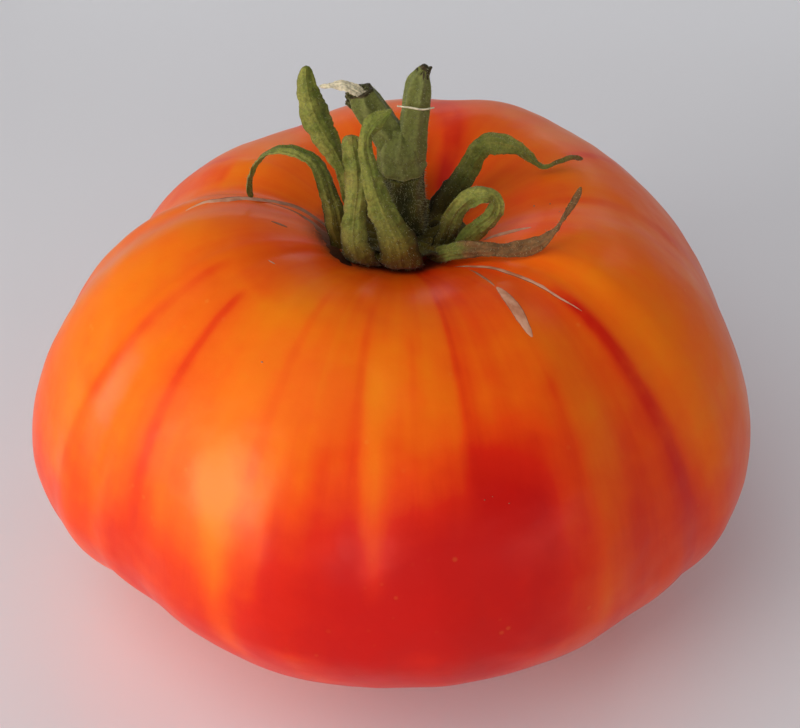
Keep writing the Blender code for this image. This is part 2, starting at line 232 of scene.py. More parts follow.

# Sepals: cupping, fleshiness of the base (mm), how far up the base's olive reaches (its own olive
# with painted warm light bounced from the fruit), where drying starts, how dry the tip is,
# paleness, painted shade at the base, stations (right, back, height, width in mm, direction the
# blade faces and its roll in degrees)
SEPALS = (
    # Upright, at the left
    (0.60, 0.9, 0.25, 0.90, 0.1, 0.60, 0.5, (
        (-3.5, 2.2, 60.4, 3.6, -40, 0), (-7.2, 4.2, 62.6, 3.2, -50, 0),
        (-8.6, 5.0, 66.4, 2.5, -60, 0), (-9.4, 5.5, 68.6, 2.6, -65, 0),
        (-10.7, 6.2, 71.2, 3.3, -70, 0), (-12.0, 6.8, 73.2, 3.9, -75, 0),
        (-13.2, 7.7, 75.6, 4.4, -80, 0), (-14.0, 8.3, 78.0, 3.9, -85, 0),
        (-14.5, 8.7, 80.2, 3.1, -85, 0), (-14.7, 8.9, 82.1, 2.5, -85, 0),
        (-14.7, 9.0, 83.7, 1.9, -85, 0))),
    # Arching over to the left
    (0.25, 0.8, 0.50, 0.80, 0.35, 0.45, 0.2, (
        (-3.0, -2.4, 60.6, 3.6, -75, 0), (-7.4, -4.6, 61.2, 3.8, -72, 0),
        (-9.4, -5.2, 64.6, 3.4, -70, 0), (-10.0, -5.2, 68.1, 2.9, -68, 0),
        (-10.9, -5.0, 71.4, 2.7, -62, 0), (-11.7, -4.8, 73.9, 2.8, -50, 0),
        (-12.8, -4.5, 75.8, 2.8, -32, 5), (-14.6, -4.2, 76.9, 2.2, -12, 5),
        (-16.8, -3.6, 77.1, 1.7, 0, 0), (-18.9, -3.0, 76.4, 1.4, 0, 0),
        (-20.6, -2.4, 74.8, 1.4, -10, 0), (-21.8, -1.8, 72.4, 1.4, -30, 0),
        (-22.5, -1.0, 69.9, 1.5, -45, 0), (-22.6, -0.6, 67.9, 1.4, -50, 0),
        (-22.2, 0.0, 66.5, 0.9, -50, 0))),
    # Folded, left of the stalk
    (0.35, 1.3, 0.50, 0.30, 0.30, 0.55, 0.2, (
        (-2.6, -4.6, 60.4, 3.6, -100, 0), (-5.0, -8.0, 61.2, 5.0, -105, 0),
        (-6.2, -9.2, 63.6, 5.2, -105, 0), (-6.9, -9.1, 66.6, 4.0, -100, 0),
        (-6.8, -8.5, 70.2, 3.3, -95, 0), (-6.5, -7.9, 73.4, 3.5, -90, 0),
        (-6.6, -7.4, 75.7, 3.6, -85, 0), (-6.9, -7.0, 78.3, 3.5, -80, 0),
        (-7.3, -6.8, 80.2, 3.1, -80, 0), (-7.4, -6.8, 81.9, 3.0, -80, 0))),
    # Strap in front of the stalk
    (0.36, 1.5, 0.48, 0.90, 0.1, 0.45, 0.2, (
        (0.6, -4.8, 60.2, 4.4, -88, 0), (0.2, -8.4, 61.0, 6.0, -88, 0),
        (-0.1, -9.9, 63.4, 6.4, -86, 0), (-0.7, -9.9, 66.4, 5.5, -84, 0),
        (-1.9, -9.5, 68.7, 4.4, -82, 0), (-2.8, -9.2, 70.7, 4.1, -80, 0),
        (-3.5, -9.0, 72.6, 3.7, -80, 0), (-4.1, -8.8, 74.6, 3.3, -80, 0),
        (-4.6, -8.6, 76.5, 2.8, -78, 0), (-5.0, -8.4, 78.4, 2.3, -76, 0),
        (-5.4, -8.2, 80.3, 2.0, -74, 0), (-5.4, -8.0, 82.2, 2.0, -76, 5),
        (-4.7, -7.6, 83.7, 2.5, -80, 15), (-3.7, -7.2, 84.6, 2.4, -85, 20),
        (-2.6, -6.8, 85.4, 1.5, -85, 20), (-1.8, -6.5, 86.0, 0.6, -85, 15))),
    # Low and dry, to the right
    (0.20, 0.5, 0.16, 0.06, 0.95, 0.40, 0.2, (
        (3.6, -3.4, 60.4, 2.6, -150, -20), (5.2, -5.6, 61.0, 2.4, -160, -30),
        (6.4, -7.3, 62.5, 2.5, -170, -40), (8.5, -8.2, 63.8, 2.6, -180, -45),
        (10.6, -9.0, 64.6, 2.4, -180, -45), (12.7, -9.8, 65.2, 2.1, -180, -50),
        (14.5, -10.6, 65.7, 1.9, -180, -50), (16.2, -11.2, 66.3, 2.4, -180, -50),
        (18.3, -11.6, 67.2, 2.4, -180, -48), (19.9, -12.0, 68.4, 1.9, -180, -40),
        (21.2, -12.2, 70.0, 1.4, -180, -30), (22.2, -12.4, 72.0, 1.0, -170, -20),
        (23.1, -12.5, 74.2, 0.8, -150, 0), (23.9, -12.6, 76.4, 0.8, -140, 0),
        (24.5, -12.7, 78.2, 0.9, -140, 0))),
    # Curled into a loop
    (0.20, 0.6, 0.30, 0.90, 0.2, 0.50, 0.4, (
        (3.6, -1.4, 60.4, 3.0, -80, 0), (5.8, -2.6, 61.0, 3.4, -85, 0),
        (6.7, -3.3, 63.6, 3.0, -90, 0), (7.3, -3.7, 66.4, 3.1, -95, 0),
        (8.2, -4.0, 68.5, 3.0, -110, -15), (9.6, -4.4, 70.2, 2.8, -135, -35),
        (11.3, -4.8, 71.2, 2.6, -170, -55), (12.8, -4.8, 70.9, 2.3, -215, -45),
        (13.6, -4.6, 69.4, 2.3, -250, -20), (13.1, -4.4, 67.5, 2.8, -268, 0),
        (11.9, -4.2, 65.8, 3.0, -280, 0), (10.4, -4.1, 64.0, 2.9, -280, 0),
        (9.0, -4.2, 62.7, 2.4, -280, 0), (7.8, -4.3, 61.8, 1.4, -280, 0))),
    # Arching over to the right
    (0.20, 1.0, 0.32, 0.80, 0.6, 0.60, 0.7, (
        (3.4, 2.6, 60.4, 3.6, -100, 0), (5.6, 4.4, 60.9, 4.6, -105, 0),
        (6.6, 5.4, 63.2, 4.4, -110, 0), (8.2, 6.2, 65.6, 3.9, -115, 0),
        (9.7, 6.8, 68.1, 3.4, -120, 0), (10.6, 7.0, 70.3, 3.1, -130, -10),
        (11.6, 7.1, 71.9, 3.3, -150, -30), (13.1, 7.3, 72.5, 3.5, -175, -45),
        (15.0, 7.6, 72.1, 3.1, -180, -48), (16.9, 8.0, 71.3, 2.1, -180, -48),
        (18.6, 8.5, 69.8, 1.5, -180, -40), (20.3, 9.0, 67.9, 1.1, -170, -30),
        (21.8, 9.5, 67.3, 1.0, -170, -30), (23.7, 10.0, 68.0, 1.0, -180, -30),
        (25.4, 10.3, 68.5, 0.9, -180, -30), (27.3, 10.6, 68.1, 0.7, -180, -30))),
    # Behind the stalk
    (0.25, 1.0, 0.30, 0.70, 0.7, 0.3, 0.5, (
        (0.6, 4.6, 60.4, 4.4, -90, 0), (0.6, 8.2, 61.6, 5.2, -90, 0),
        (0.7, 9.4, 64.6, 4.6, -90, 0), (0.8, 11.0, 67.6, 4.0, -90, 0),
        (1.0, 13.6, 69.4, 3.2, -90, 0), (1.2, 17.0, 69.7, 2.2, -90, 0),
        (1.4, 20.0, 68.2, 0.9, -90, 0))),
)

# Stem pieces, millimetres: right, back, height, radius
PEDICEL = (
    (0.9, 0.0, 61.8, 2.9), (0.8, 0.0, 63.5, 3.0), (0.3, 0.0, 67.5, 3.1), (-0.1, 0.0, 70.0, 3.3),
    (-0.4, 0.0, 71.8, 3.5),
)
STUB_TRUNK = (
    (-0.4, 0.0, 72.2, 3.6), (-0.4, 0.0, 73.0, 3.75), (-0.5, 0.0, 74.2, 3.5),
    (-0.6, 0.1, 76.0, 3.4), (-0.6, 0.1, 77.8, 2.7), (-0.6, 0.1, 79.2, 1.6),
)
RIGHT_BRANCH = (
    (0.6, 0.0, 74.2, 2.6), (0.9, 0.0, 76.6, 2.5), (1.2, 0.0, 79.5, 2.2), (1.5, 0.0, 83.0, 2.1),
    (1.7, 0.0, 86.2, 1.9), (2.1, 0.0, 87.9, 1.2), (2.6, 0.0, 89.2, 0.5),
)
LEFT_BRANCH = (
    (-1.2, 0.2, 74.2, 2.5), (-1.9, 0.4, 76.6, 2.6), (-3.5, 0.8, 79.2, 2.6), (-5.1, 1.0, 81.5, 2.5),
    (-6.1, 1.0, 83.2, 2.3), (-6.5, 1.0, 84.4, 2.0),
)
# Strip of torn skin: right, back, height, width, direction it faces and its roll in degrees
TORN_FLAKE = (
    (-5.4, 0.0, 83.8, 1.3, 0, 50), (-6.3, 0.0, 84.5, 1.5, 0, 50), (-7.2, -0.2, 85.2, 1.6, 0, 50),
    (-8.6, -0.3, 85.8, 1.6, 0, 45), (-10.0, -0.3, 85.9, 1.1, 0, 40),
    (-11.2, -0.2, 85.6, 0.7, 0, 40), (-12.3, -0.1, 85.5, 0.3, 0, 40),
)
# Shreds on the left branch's torn end and on the right branch's dry tip
TORN_DRYNESS = 0.55
TORN_PALENESS = 0.6
TIP_DRYNESS = 1.1
TORN_FLESH = (
    ((-6.4, 0.9, 83.2, 1.9), (-7.4, 0.5, 83.7, 1.3), (-8.4, 0.2, 84.3, 0.6)),
    ((-6.6, 0.7, 82.6, 1.5), (-7.6, 0.4, 82.6, 0.9), (-8.5, 0.2, 82.9, 0.4)),
    ((-6.0, 0.9, 83.6, 1.3), (-5.9, 0.9, 84.6, 0.9), (-5.6, 0.8, 85.3, 0.4)),
)
DRY_TIP = (
    ((1.8, 0.0, 87.5, 1.1), (1.7, 0.0, 88.2, 0.8), (1.5, 0.0, 88.8, 0.3)),
    ((2.2, 0.0, 87.6, 1.2), (2.5, 0.0, 88.6, 0.8), (2.6, 0.0, 89.3, 0.25)),
    ((2.5, -0.1, 87.9, 0.9), (3.0, -0.1, 88.6, 0.5), (3.5, -0.1, 89.1, 0.15)),
    ((2.1, -0.5, 87.5, 0.8), (2.3, -0.6, 88.2, 0.6), (2.3, -0.6, 88.7, 0.2)),
)
# Fine pale fibre across the right branch
FIBRE = (
    (-1.2, -2.0, 83.8, 0.12), (0.6, -2.5, 83.9, 0.15), (2.4, -2.4, 83.6, 0.15),
    (4.0, -1.8, 83.6, 0.12),
)

# Studio windows: name, direction to the light, distance, width, height (m), strength, colour
WINDOWS = (
    ("left_window", (-0.80, -0.54, 0.22), 0.70, 0.26, 0.32, 0.40, (1.0, 0.98, 0.95)),
    ("back_window", (0.05, 0.96, 0.27), 0.90, 0.70, 0.12, 0.05, (0.93, 0.97, 1.0)),
    ("front_fill", (-0.10, -0.92, 0.36), 0.90, 0.14, 0.40, 0.026, (1.0, 0.97, 0.94)),
    ("front_glint", (-0.10, -0.99, 0.08), 0.90, 0.10, 0.10, 0.050, (1.0, 0.95, 0.97)),
    ("left_glint", (-0.70, -0.71, 0.06), 0.90, 0.10, 0.09, 0.042, (1.0, 0.93, 0.97)),
    ("right_fill", (0.66, -0.75, 0.05), 0.90, 0.56, 0.11, 0.045, (0.98, 0.97, 1.0)),
    ("back_glint", (0.52, 0.62, 0.59), 0.90, 0.10, 0.10, 0.020, (1.0, 0.98, 0.96)),
)
# A wide soft light from above that leaves no reflection
CANOPY = ("canopy", (-0.42, -0.30, 0.86), 1.20, 1.00, 1.00, 0.26, (1.0, 0.99, 0.97))
LIGHTS_AIM = (0.0, 0.0, 0.035)

# Surroundings: heights between which they go from low to high light, share of light on the right
# and on the left, and heights between which gloss stops seeing them in full
SKY_LOW = 0.05
SKY_HIGH = 0.75
SKY_RIGHT = 0.75
SKY_LEFT = 1.15
GLOSS_LOW = 0.07
GLOSS_HIGH = 0.20

# Camera: place in metres, tilt and roll in degrees, lens and sensor in millimetres
CAMERA_PLACE = (0.00024, -0.20087, 0.20039)
CAMERA_TILT = 50.59
CAMERA_ROLL = 1.65
CAMERA_LENS = 73.0
CAMERA_SENSOR = 36.0
CAMERA_NEAR = 0.01

# Values kept on the points of plant pieces
PLANT_VALUES = ("vein", "pale", "dry", "shade", "olive")


def ease(x):
    """Smooth step from 0 to 1."""
    x = np.clip(x, 0.0, 1.0)
    return x * x * (3.0 - 2.0 * x)


def turn(a):
    """Angle in degrees brought between -180 and 180."""
    return (a + 180.0) % 360.0 - 180.0


def bump(x, width):
    """Smooth hump of height 1 round 0."""
    return np.exp(-((x / width) ** 2))


def tint(red, green, blue):
    """Colour seen on a screen, 0 to 255, as Blender's linear values."""
    def linear(v):
        v /= 255.0
        return v / 12.92 if v <= 0.04045 else ((v + 0.055) / 1.055) ** 2.4
    return linear(red), linear(green), linear(blue)


def ring_value(table, azimuth, column):
    """Value of a table's column round the fruit, eased between its azimuths."""
    order = sorted(table, key=lambda row: row[0])
    angles = [row[0] for row in order]
    values = [row[column] for row in order]
    angles = np.array([angles[-1] - 360.0] + angles + [angles[0] + 360.0])
    values = np.array([values[-1]] + values + [values[0]], dtype=float)
    azimuth = turn(azimuth)
    i = np.clip(np.searchsorted(angles, azimuth, side="right") - 1, 0, len(angles) - 2)
    t = (azimuth - angles[i]) / (angles[i + 1] - angles[i])
    t = (1.0 - np.cos(math.pi * t)) / 2.0
    return values[i] + (values[i + 1] - values[i]) * t


def skin_point(azimuth, polar):
    """Points of the skin in mm for arrays of azimuth (degrees) and polar angle (radians)."""
    s = np.abs(np.sin(polar))
    c = np.cos(polar)
    reach = s ** PLAN_FULLNESS
    crown = BASE_HEIGHT + CROWN_HEIGHT * np.abs(c) ** CROWN_FULLNESS
    crown -= CAVITY_DEPTH * np.exp(-((HALF_WIDTH_X * reach / CAVITY_RADIUS) ** 2))
    under = BASE_HEIGHT * (1.0 - np.abs(c) ** CROWN_FULLNESS)
    z = np.where(c > 0.0, crown, under)
    top = ease((c + 0.15) / 0.75)
    swell = ring_value(LOBES, azimuth, 1) * s ** 0.8
    grip = s ** 0.9 * np.where(c < 0.0, ease(1.0 + 1.05 * c), 1.0)
    for where, half, shoulder, flank in GROOVES:
        d = turn(azimuth - where) / (half * (1.0 + 0.6 * top))
        swell -= (shoulder * top + flank * (1.0 - top)) * np.exp(-d * d) * grip
    lift = swell * c * ease((1.0 + c) / 0.25)
    a = np.radians(azimuth)
    x = (HALF_WIDTH_X * reach + swell * s) * np.cos(a)
    y = (HALF_WIDTH_Y * reach + swell * s) * np.sin(a)
    return np.stack([x, y, np.maximum(z + lift - FOOT_CUT, 0.0)], axis=-1)


def skin_normal(azimuth, polar):
    """Outward direction of the skin."""
    step = 0.004
    da = skin_point(azimuth + 0.3, polar) - skin_point(azimuth - 0.3, polar)
    dp = skin_point(azimuth, polar + step) - skin_point(azimuth, polar - step)
    n = np.cross(dp, da)
    return n / np.maximum(np.linalg.norm(n, axis=-1, keepdims=True), 1e-9)


def cavity_floor(radius):
    """Height of the stem cavity's floor at a distance from the middle."""
    s = (radius / HALF_WIDTH_X) ** (1.0 / PLAN_FULLNESS)
    return skin_point(np.full_like(radius, 24.5), np.arcsin(np.clip(s, 0.0, 1.0)))[..., 2]


def spline(stations, t):
    """Smooth curve through the stations; t runs from 0 to 1 along their length."""
    p = np.array(stations, dtype=float)
    steps = np.linalg.norm(np.diff(p[:, :3], axis=0), axis=1)
    ends = np.concatenate([[0.0], np.cumsum(steps)])
    goal = np.clip(t, 0.0, 1.0) * ends[-1]
    i = np.clip(np.searchsorted(ends, goal, side="left") - 1, 0, len(steps) - 1)
    u = ((goal - ends[i]) / steps[i])[:, None]
    padded = np.vstack([2.0 * p[0] - p[1], p, 2.0 * p[-1] - p[-2]])
    p0, p1, p2, p3 = (padded[i + k] for k in range(4))
    out = 2.0 * p1 + (p2 - p0) * u + (2.0 * p0 - 5.0 * p1 + 4.0 * p2 - p3) * u ** 2
    return 0.5 * (out + (3.0 * p1 - p0 - 3.0 * p2 + p3) * u ** 3)


def tangent(stations, t):
    """Direction of the curve through the stations."""
    d = spline(stations, np.minimum(t + 0.01, 1.0)) - spline(stations, np.maximum(t - 0.01, 0.0))
    return d[:, :3] / np.linalg.norm(d[:, :3], axis=1, keepdims=True)


def unit(v):
    """Rows of an array brought to length 1."""
    return v / np.maximum(np.linalg.norm(v, axis=1, keepdims=True), 1e-9)


def roughness_field(points, size, seed):
    """Smooth random values from -1 to 1 at points in mm; size is the width of a bump."""
    shift = Vector((seed * 17.3, seed * 5.1, seed * 9.7))
    return np.array([noise.noise(Vector(p) / size + shift) for p in points])


def put_in_order(bm, around, rings):
    """Sort a ball's vertices and faces by ring and place, because the operator's order varies."""
    def vertex_rank(v):
        ring = round(math.acos(min(max(v.co.z, -1.0), 1.0)) / math.pi * rings)
        return ring * around + round(math.atan2(v.co.y, v.co.x) / math.tau * around) % around

    def face_rank(f):
        lowest = sorted(v.index for v in f.verts)[:3]
        return (lowest[0] * count + lowest[1]) * count + lowest[2]

    count = len(bm.verts)
    bm.verts.sort(key=vertex_rank)
    bm.verts.index_update()
    bm.faces.sort(key=face_rank)
    bm.faces.index_update()


class Shape:
    """A closed ball of rings whose vertices are moved to a form, with values on its points."""

    def __init__(self, around, rings):
        bm = bmesh.new()
        bmesh.ops.create_uvsphere(bm, u_segments=around, v_segments=rings, radius=1.0)
        put_in_order(bm, around, rings)
        ball = np.array([v.co[:] for v in bm.verts])
        self.mesh = loose_mesh(bm)
        self.polar = np.arccos(np.clip(ball[:, 2], -1.0, 1.0))
        self.along = self.polar / math.pi
        self.angle = np.arctan2(ball[:, 1], ball[:, 0])
        self.values = {}

    def move(self, points):
        """Put the vertices at points given in millimetres."""
        self.mesh.vertices.foreach_set("co", (points * MM).ravel())


def loose_mesh(bm, name="part"):
    """A mesh of the bmesh, which is freed."""
    mesh = bpy.data.meshes.new(name)
    bm.to_mesh(mesh)
    bm.free()
    return mesh


def finish_piece(name, shapes, material, replaced=None):
    """Join shapes to one object in metres, riding on the root body."""
    keys = sorted({key for shape in shapes for key in shape.values})
    values = {key: [] for key in keys}
    joined = bmesh.new()
    for shape in shapes:
        count = len(shape.mesh.vertices)
        for key in keys:
            values[key].append(np.broadcast_to(shape.values.get(key, 0.0), (count,)))
        joined.from_mesh(shape.mesh)
        bpy.data.meshes.remove(shape.mesh)
    bmesh.ops.recalc_face_normals(joined, faces=joined.faces)
    for f in joined.faces:
        f.smooth = True
    mesh = loose_mesh(joined, name)
    for key in keys:
        layer = mesh.attributes.new(key, "FLOAT", "POINT")
        layer.data.foreach_set("value", np.concatenate(values[key]).astype(np.float32))
    mesh.materials.append(material)
    obj = show(bpy.data.objects.new(name, mesh))
    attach(obj, "root")
    if replaced:
        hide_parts(replaced)


# Shader helpers

class Nodes:
    """Short words for building a node tree."""

    def __init__(self, tree):
        self.tree = tree

    def add(self, kind, **settings):
        node = self.tree.nodes.new(kind)
        for key, value in settings.items():
            setattr(node, key, value)
        return node

    def feed(self, socket, value):
        if isinstance(value, bpy.types.NodeSocket):
            self.tree.links.new(value, socket)
        else:
            socket.default_value = value

    def math(self, operation, a, b=0.0, clamp=False):
        node = self.add("ShaderNodeMath", operation=operation, use_clamp=clamp)
        self.feed(node.inputs[0], a)
        self.feed(node.inputs[1], b)
        return node.outputs[0]

    def vector(self, operation, a, b=(0.0, 0.0, 0.0)):
        node = self.add("ShaderNodeVectorMath", operation=operation)
        self.feed(node.inputs[0], a)
        self.feed(node.inputs[1], b)
        return node.outputs[0]

    def plus(self, base, value, share, clamp=False):
        """The base with a share of another value added."""
        return self.math("ADD", base, self.math("MULTIPLY", value, share), clamp)

    def centred(self, value):
        return self.math("SUBTRACT", value, 0.5)

    def mix(self, factor, a, b):
        node = self.add("ShaderNodeMix", data_type="RGBA")
        self.feed(node.inputs[0], factor)
        for socket, value in ((node.inputs[6], a), (node.inputs[7], b)):
            if not isinstance(value, bpy.types.NodeSocket) and len(value) == 3:
                value = (*value, 1.0)
            self.feed(socket, value)
        return node.outputs[2]

    def attribute(self, name):
        return self.add("ShaderNodeAttribute", attribute_name=name).outputs["Fac"]

    def position(self):
        return self.add("ShaderNodeTexCoord").outputs["Object"]

    def noise(self, vector, scale, detail=3.0, rough=0.5):
        node = self.add("ShaderNodeTexNoise")
        self.feed(node.inputs["Vector"], vector)
        node.inputs["Scale"].default_value = scale
        node.inputs["Detail"].default_value = detail
        node.inputs["Roughness"].default_value = rough
        return node.outputs["Fac"]

    def cells(self, vector, scale):
        node = self.add("ShaderNodeTexVoronoi")
        self.feed(node.inputs["Vector"], vector)
        node.inputs["Scale"].default_value = scale
        return node.outputs["Distance"]

    def ramp(self, value, low, high, out_low=0.0, out_high=1.0):
        node = self.add("ShaderNodeMapRange", interpolation_type="SMOOTHSTEP")
        self.feed(node.inputs["Value"], value)
        node.inputs["From Min"].default_value = low
        node.inputs["From Max"].default_value = high
        node.inputs["To Min"].default_value = out_low
        node.inputs["To Max"].default_value = out_high
        return node.outputs["Result"]

    def colours(self, value, stops):
        node = self.add("ShaderNodeValToRGB")
        self.feed(node.inputs["Fac"], value)
        points = node.color_ramp.elements
        while len(points) < len(stops):
            points.new(0.5)
        for point, (place, colour) in zip(points, stops):
            point.position = place
            point.color = (*colour, 1.0)
        return node.outputs["Color"]

    def relief(self, shader, height, strength, distance):
        """Bump the shader's surface by a height."""
        node = self.add("ShaderNodeBump")
        node.inputs["Strength"].default_value = strength
        node.inputs["Distance"].default_value = distance
        self.feed(node.inputs["Height"], height)
        self.feed(shader.inputs["Normal"], node.outputs["Normal"])

    def group(self, tree, **inputs):
        node = self.add("ShaderNodeGroup")
        node.node_tree = tree
        for key, value in inputs.items():
            self.feed(node.inputs[key.replace("_", " ")], value)
        return node


def new_group(name, inputs, outputs):
    """An empty shader node group; returns its words, its input sockets and its output node."""
    tree = bpy.data.node_groups.new(name, "ShaderNodeTree")
    for direction, sockets in (("INPUT", inputs), ("OUTPUT", outputs)):
        for label, kind, default in sockets:
            socket = tree.interface.new_socket(
                name=label, in_out=direction, socket_type="NodeSocket" + kind)
            if default is not None:
                socket.default_value = default
    words = Nodes(tree)
    return words, words.add("NodeGroupInput").outputs, words.add("NodeGroupOutput")


def new_material(name, **constants):
    """A material whose Principled shader has its plain values set on its own sockets."""
    material = bpy.data.materials.new(name)
    material.use_nodes = True
    words = Nodes(material.node_tree)
    shader = material.node_tree.nodes["Principled BSDF"]
    for key, value in constants.items():
        shader.inputs[key.replace("_", " ")].default_value = value
    return material, words, shader


def skin_colour_group(settings):
    """Colour and relief of the skin from ripeness (0 to 1) and streaks with painted groove shade.
    """
    n, given, out = new_group(
        "tomato_skin_colour",
        (("Ripeness", "Float", 0.0), ("Streak", "Float", 0.0)),
        (("Colour", "Color", None), ("Relief", "Float", None), ("Mottle", "Float", None)),
    )
    place = n.position()
    round_about = n.vector("NORMALIZE", n.vector("MULTIPLY", place, (1.0, 1.0, 0.0)))
    fibre = n.vector("ADD", round_about, n.vector("MULTIPLY", place, (0.0, 0.0, 3.0)))
    feathers = n.centred(n.noise(fibre, 16.0, 4.0, 0.6))
    bands = n.centred(n.noise(fibre, 6.0, 2.0, 0.5))
    blotch = n.noise(place, 60.0, 3.0, 0.55)
    fine = n.noise(place, 420.0, 3.0, 0.6)
    cloud = n.noise(place, 170.0, 2.0, 0.5)
    ripe = given["Ripeness"]
    turning = n.math("MULTIPLY", ripe, n.math("SUBTRACT", 1.0, ripe))
    stir = n.plus(n.math("MULTIPLY", feathers, 1.1), bands, 1.2)
    stir = n.plus(stir, n.centred(blotch), 1.8)
    ripe = n.plus(ripe, stir, turning)
    for texture, share in ((blotch, 0.24), (cloud, 0.12), (fine, 0.09)):
        ripe = n.plus(ripe, n.centred(texture), share)
    broken = n.ramp(n.noise(place, 150.0), 0.3, 0.65, 0.55, 1.0)
    streak = n.math("MULTIPLY", given["Streak"], broken)
    ripe = n.plus(ripe, streak, n.math("SUBTRACT", 0.95, ripe), clamp=True)
    colour = n.colours(ripe, (
        (0.0, settings.shoulder), (0.22, settings.orange), (0.50, settings.flame),
        (0.78, settings.red), (1.0, settings.deep_red)))
    dots = n.ramp(n.cells(place, 330.0), 0.16, 0.05)
    dots = n.math("MULTIPLY", dots, n.ramp(n.noise(place, 120.0), 0.5, 0.7))
    colour = n.mix(n.math("MULTIPLY", dots, 0.12), colour, tint(255, 190, 90))
    n.feed(out.inputs["Colour"], colour)
    n.feed(out.inputs["Mottle"], blotch)
    swell = n.noise(place, 130.0, 2.0, 0.5)
    n.feed(out.inputs["Relief"], n.plus(swell, fine, 0.16))
    return n.tree


def skin_material(settings, group):
    """Waxy skin, duller and browner where it is corky, beside the calyx also as painted shade."""
    material, n, shader = new_material(
        "tomato_skin", IOR=1.42, Specular_IOR_Level=0.25,
        Subsurface_Weight=0.15, Subsurface_Radius=(1.0, 0.2, 0.05), Subsurface_Scale=0.003)
    look = n.group(group, Ripeness=n.attribute("ripe"), Streak=n.attribute("streak"))
    cork = n.attribute("cork")
    grain = n.noise(n.position(), 900.0, 3.0, 0.7)
    patchy = n.math("MULTIPLY", cork, n.ramp(grain, 0.25, 0.6, 0.5, 1.0))
    # Cork brown, which in the patch beside the calyx is partly painted shade
    colour = n.mix(patchy, look.outputs["Colour"], settings.cork)
    n.feed(shader.inputs["Base Color"], colour)
    rough = n.ramp(look.outputs["Mottle"], 0.3, 0.7, 0.30, 0.38)
    n.feed(shader.inputs["Roughness"], n.plus(rough, cork, 0.35))
    n.relief(shader, look.outputs["Relief"], 0.22, 0.0009)
    return material


def scar_material(settings, group):
    """Healed tissue: pale and grainy, with a dark line along its edge; cork is browner."""
    material, n, shader = new_material("healed_skin", IOR=1.4, Specular_IOR_Level=0.3)
    look = n.group(group, Ripeness=n.attribute("ripe"), Streak=n.attribute("streak"))
    grain = n.noise(n.position(), 1500.0, 4.0, 0.7)
    blotch = n.noise(n.position(), 500.0, 2.0, 0.5)
    stir = n.math("MULTIPLY", n.centred(grain), 0.8)
    tissue = n.mix(n.ramp(blotch, 0.35, 0.62), settings.scar_dark, settings.scar_pale)
    tissue = n.mix(n.ramp(grain, 0.6, 0.75), tissue, settings.scar_pale)
    cork = n.attribute("cork")
    tissue = n.mix(n.math("MINIMUM", cork, 1.0), tissue, settings.cork)
    # Painted shade: cork past 1 darkens towards near black in the shaded cavity wall
    tissue = n.mix(n.math("MULTIPLY", n.ramp(cork, 1.0, 1.4), 0.7), tissue, tint(40, 18, 10))
    line = n.ramp(n.math("ADD", n.attribute("line"), stir), 0.35, 0.65)
    tissue = n.mix(n.math("MULTIPLY", line, 0.8), tissue, tint(96, 44, 24))
    fringe = n.ramp(n.math("ADD", n.attribute("fringe"), stir), 0.4, 0.7)
    n.feed(shader.inputs["Base Color"], n.mix(fringe, tissue, look.outputs["Colour"]))
    n.feed(shader.inputs["Roughness"], n.ramp(grain, 0.3, 0.7, 0.5, 0.75))
    n.relief(shader, grain, 0.4, 0.0003)
    return material


def plant_group():
    """Mottled plant tissue: colour between green, pale and dry, with veins along the growth."""
    n, given, out = new_group(
        "plant_tissue",
        (("Green", "Color", None), ("Pale", "Color", None), ("Dry", "Color", None),
         ("Vein", "Float", 0.0), ("Paleness", "Float", 0.0), ("Dryness", "Float", 0.0),
         ("Shade", "Float", 0.0), ("Olive", "Float", 0.0)),
        (("Colour", "Color", None), ("Relief", "Float", None), ("Grain", "Float", None)),
    )
    place = n.position()
    blotch = n.noise(place, 380.0, 4.0, 0.6)
    grain = n.noise(place, 2200.0, 3.0, 0.7)
    paleness = n.math("MULTIPLY", given["Paleness"], n.ramp(blotch, 0.3, 0.7, 0.4, 1.4))
    paleness = n.plus(paleness, given["Vein"], 0.35, clamp=True)
    colour = n.mix(paleness, given["Green"], given["Pale"])
    # Olive of the bases: their own olive and painted warm light bounced from the fruit
    olive = n.math("MULTIPLY", given["Olive"], n.ramp(blotch, 0.25, 0.7, 1.0, 0.65))
    colour = n.mix(olive, colour, tint(122, 92, 12))
    dryness = n.ramp(n.plus(given["Dryness"], n.centred(blotch), 0.9), 0.25, 0.75)
    dryness = n.math("MULTIPLY", dryness, n.ramp(given["Dryness"], 0.0, 0.15))
    brown = n.ramp(n.noise(place, 620.0), 0.62, 0.36, 0.0, 0.5)
    flecks = n.math("MULTIPLY", n.ramp(n.noise(place, 1300.0), 0.58, 0.74), 0.32)
    dry = n.mix(flecks, n.mix(brown, given["Dry"], tint(74, 48, 24)), tint(176, 150, 104))
    colour = n.mix(dryness, colour, dry)
    dark = n.math("MULTIPLY", n.ramp(grain, 0.62, 0.35), 0.38)
    colour = n.mix(dark, colour, tint(34, 34, 6))
    colour = n.mix(given["Shade"], colour, tint(34, 27, 4))
    n.feed(out.inputs["Colour"], colour)
    n.feed(out.inputs["Relief"], n.math("ADD", n.plus(blotch, grain, 0.5), given["Vein"]))
    n.feed(out.inputs["Grain"], grain)
    return n.tree


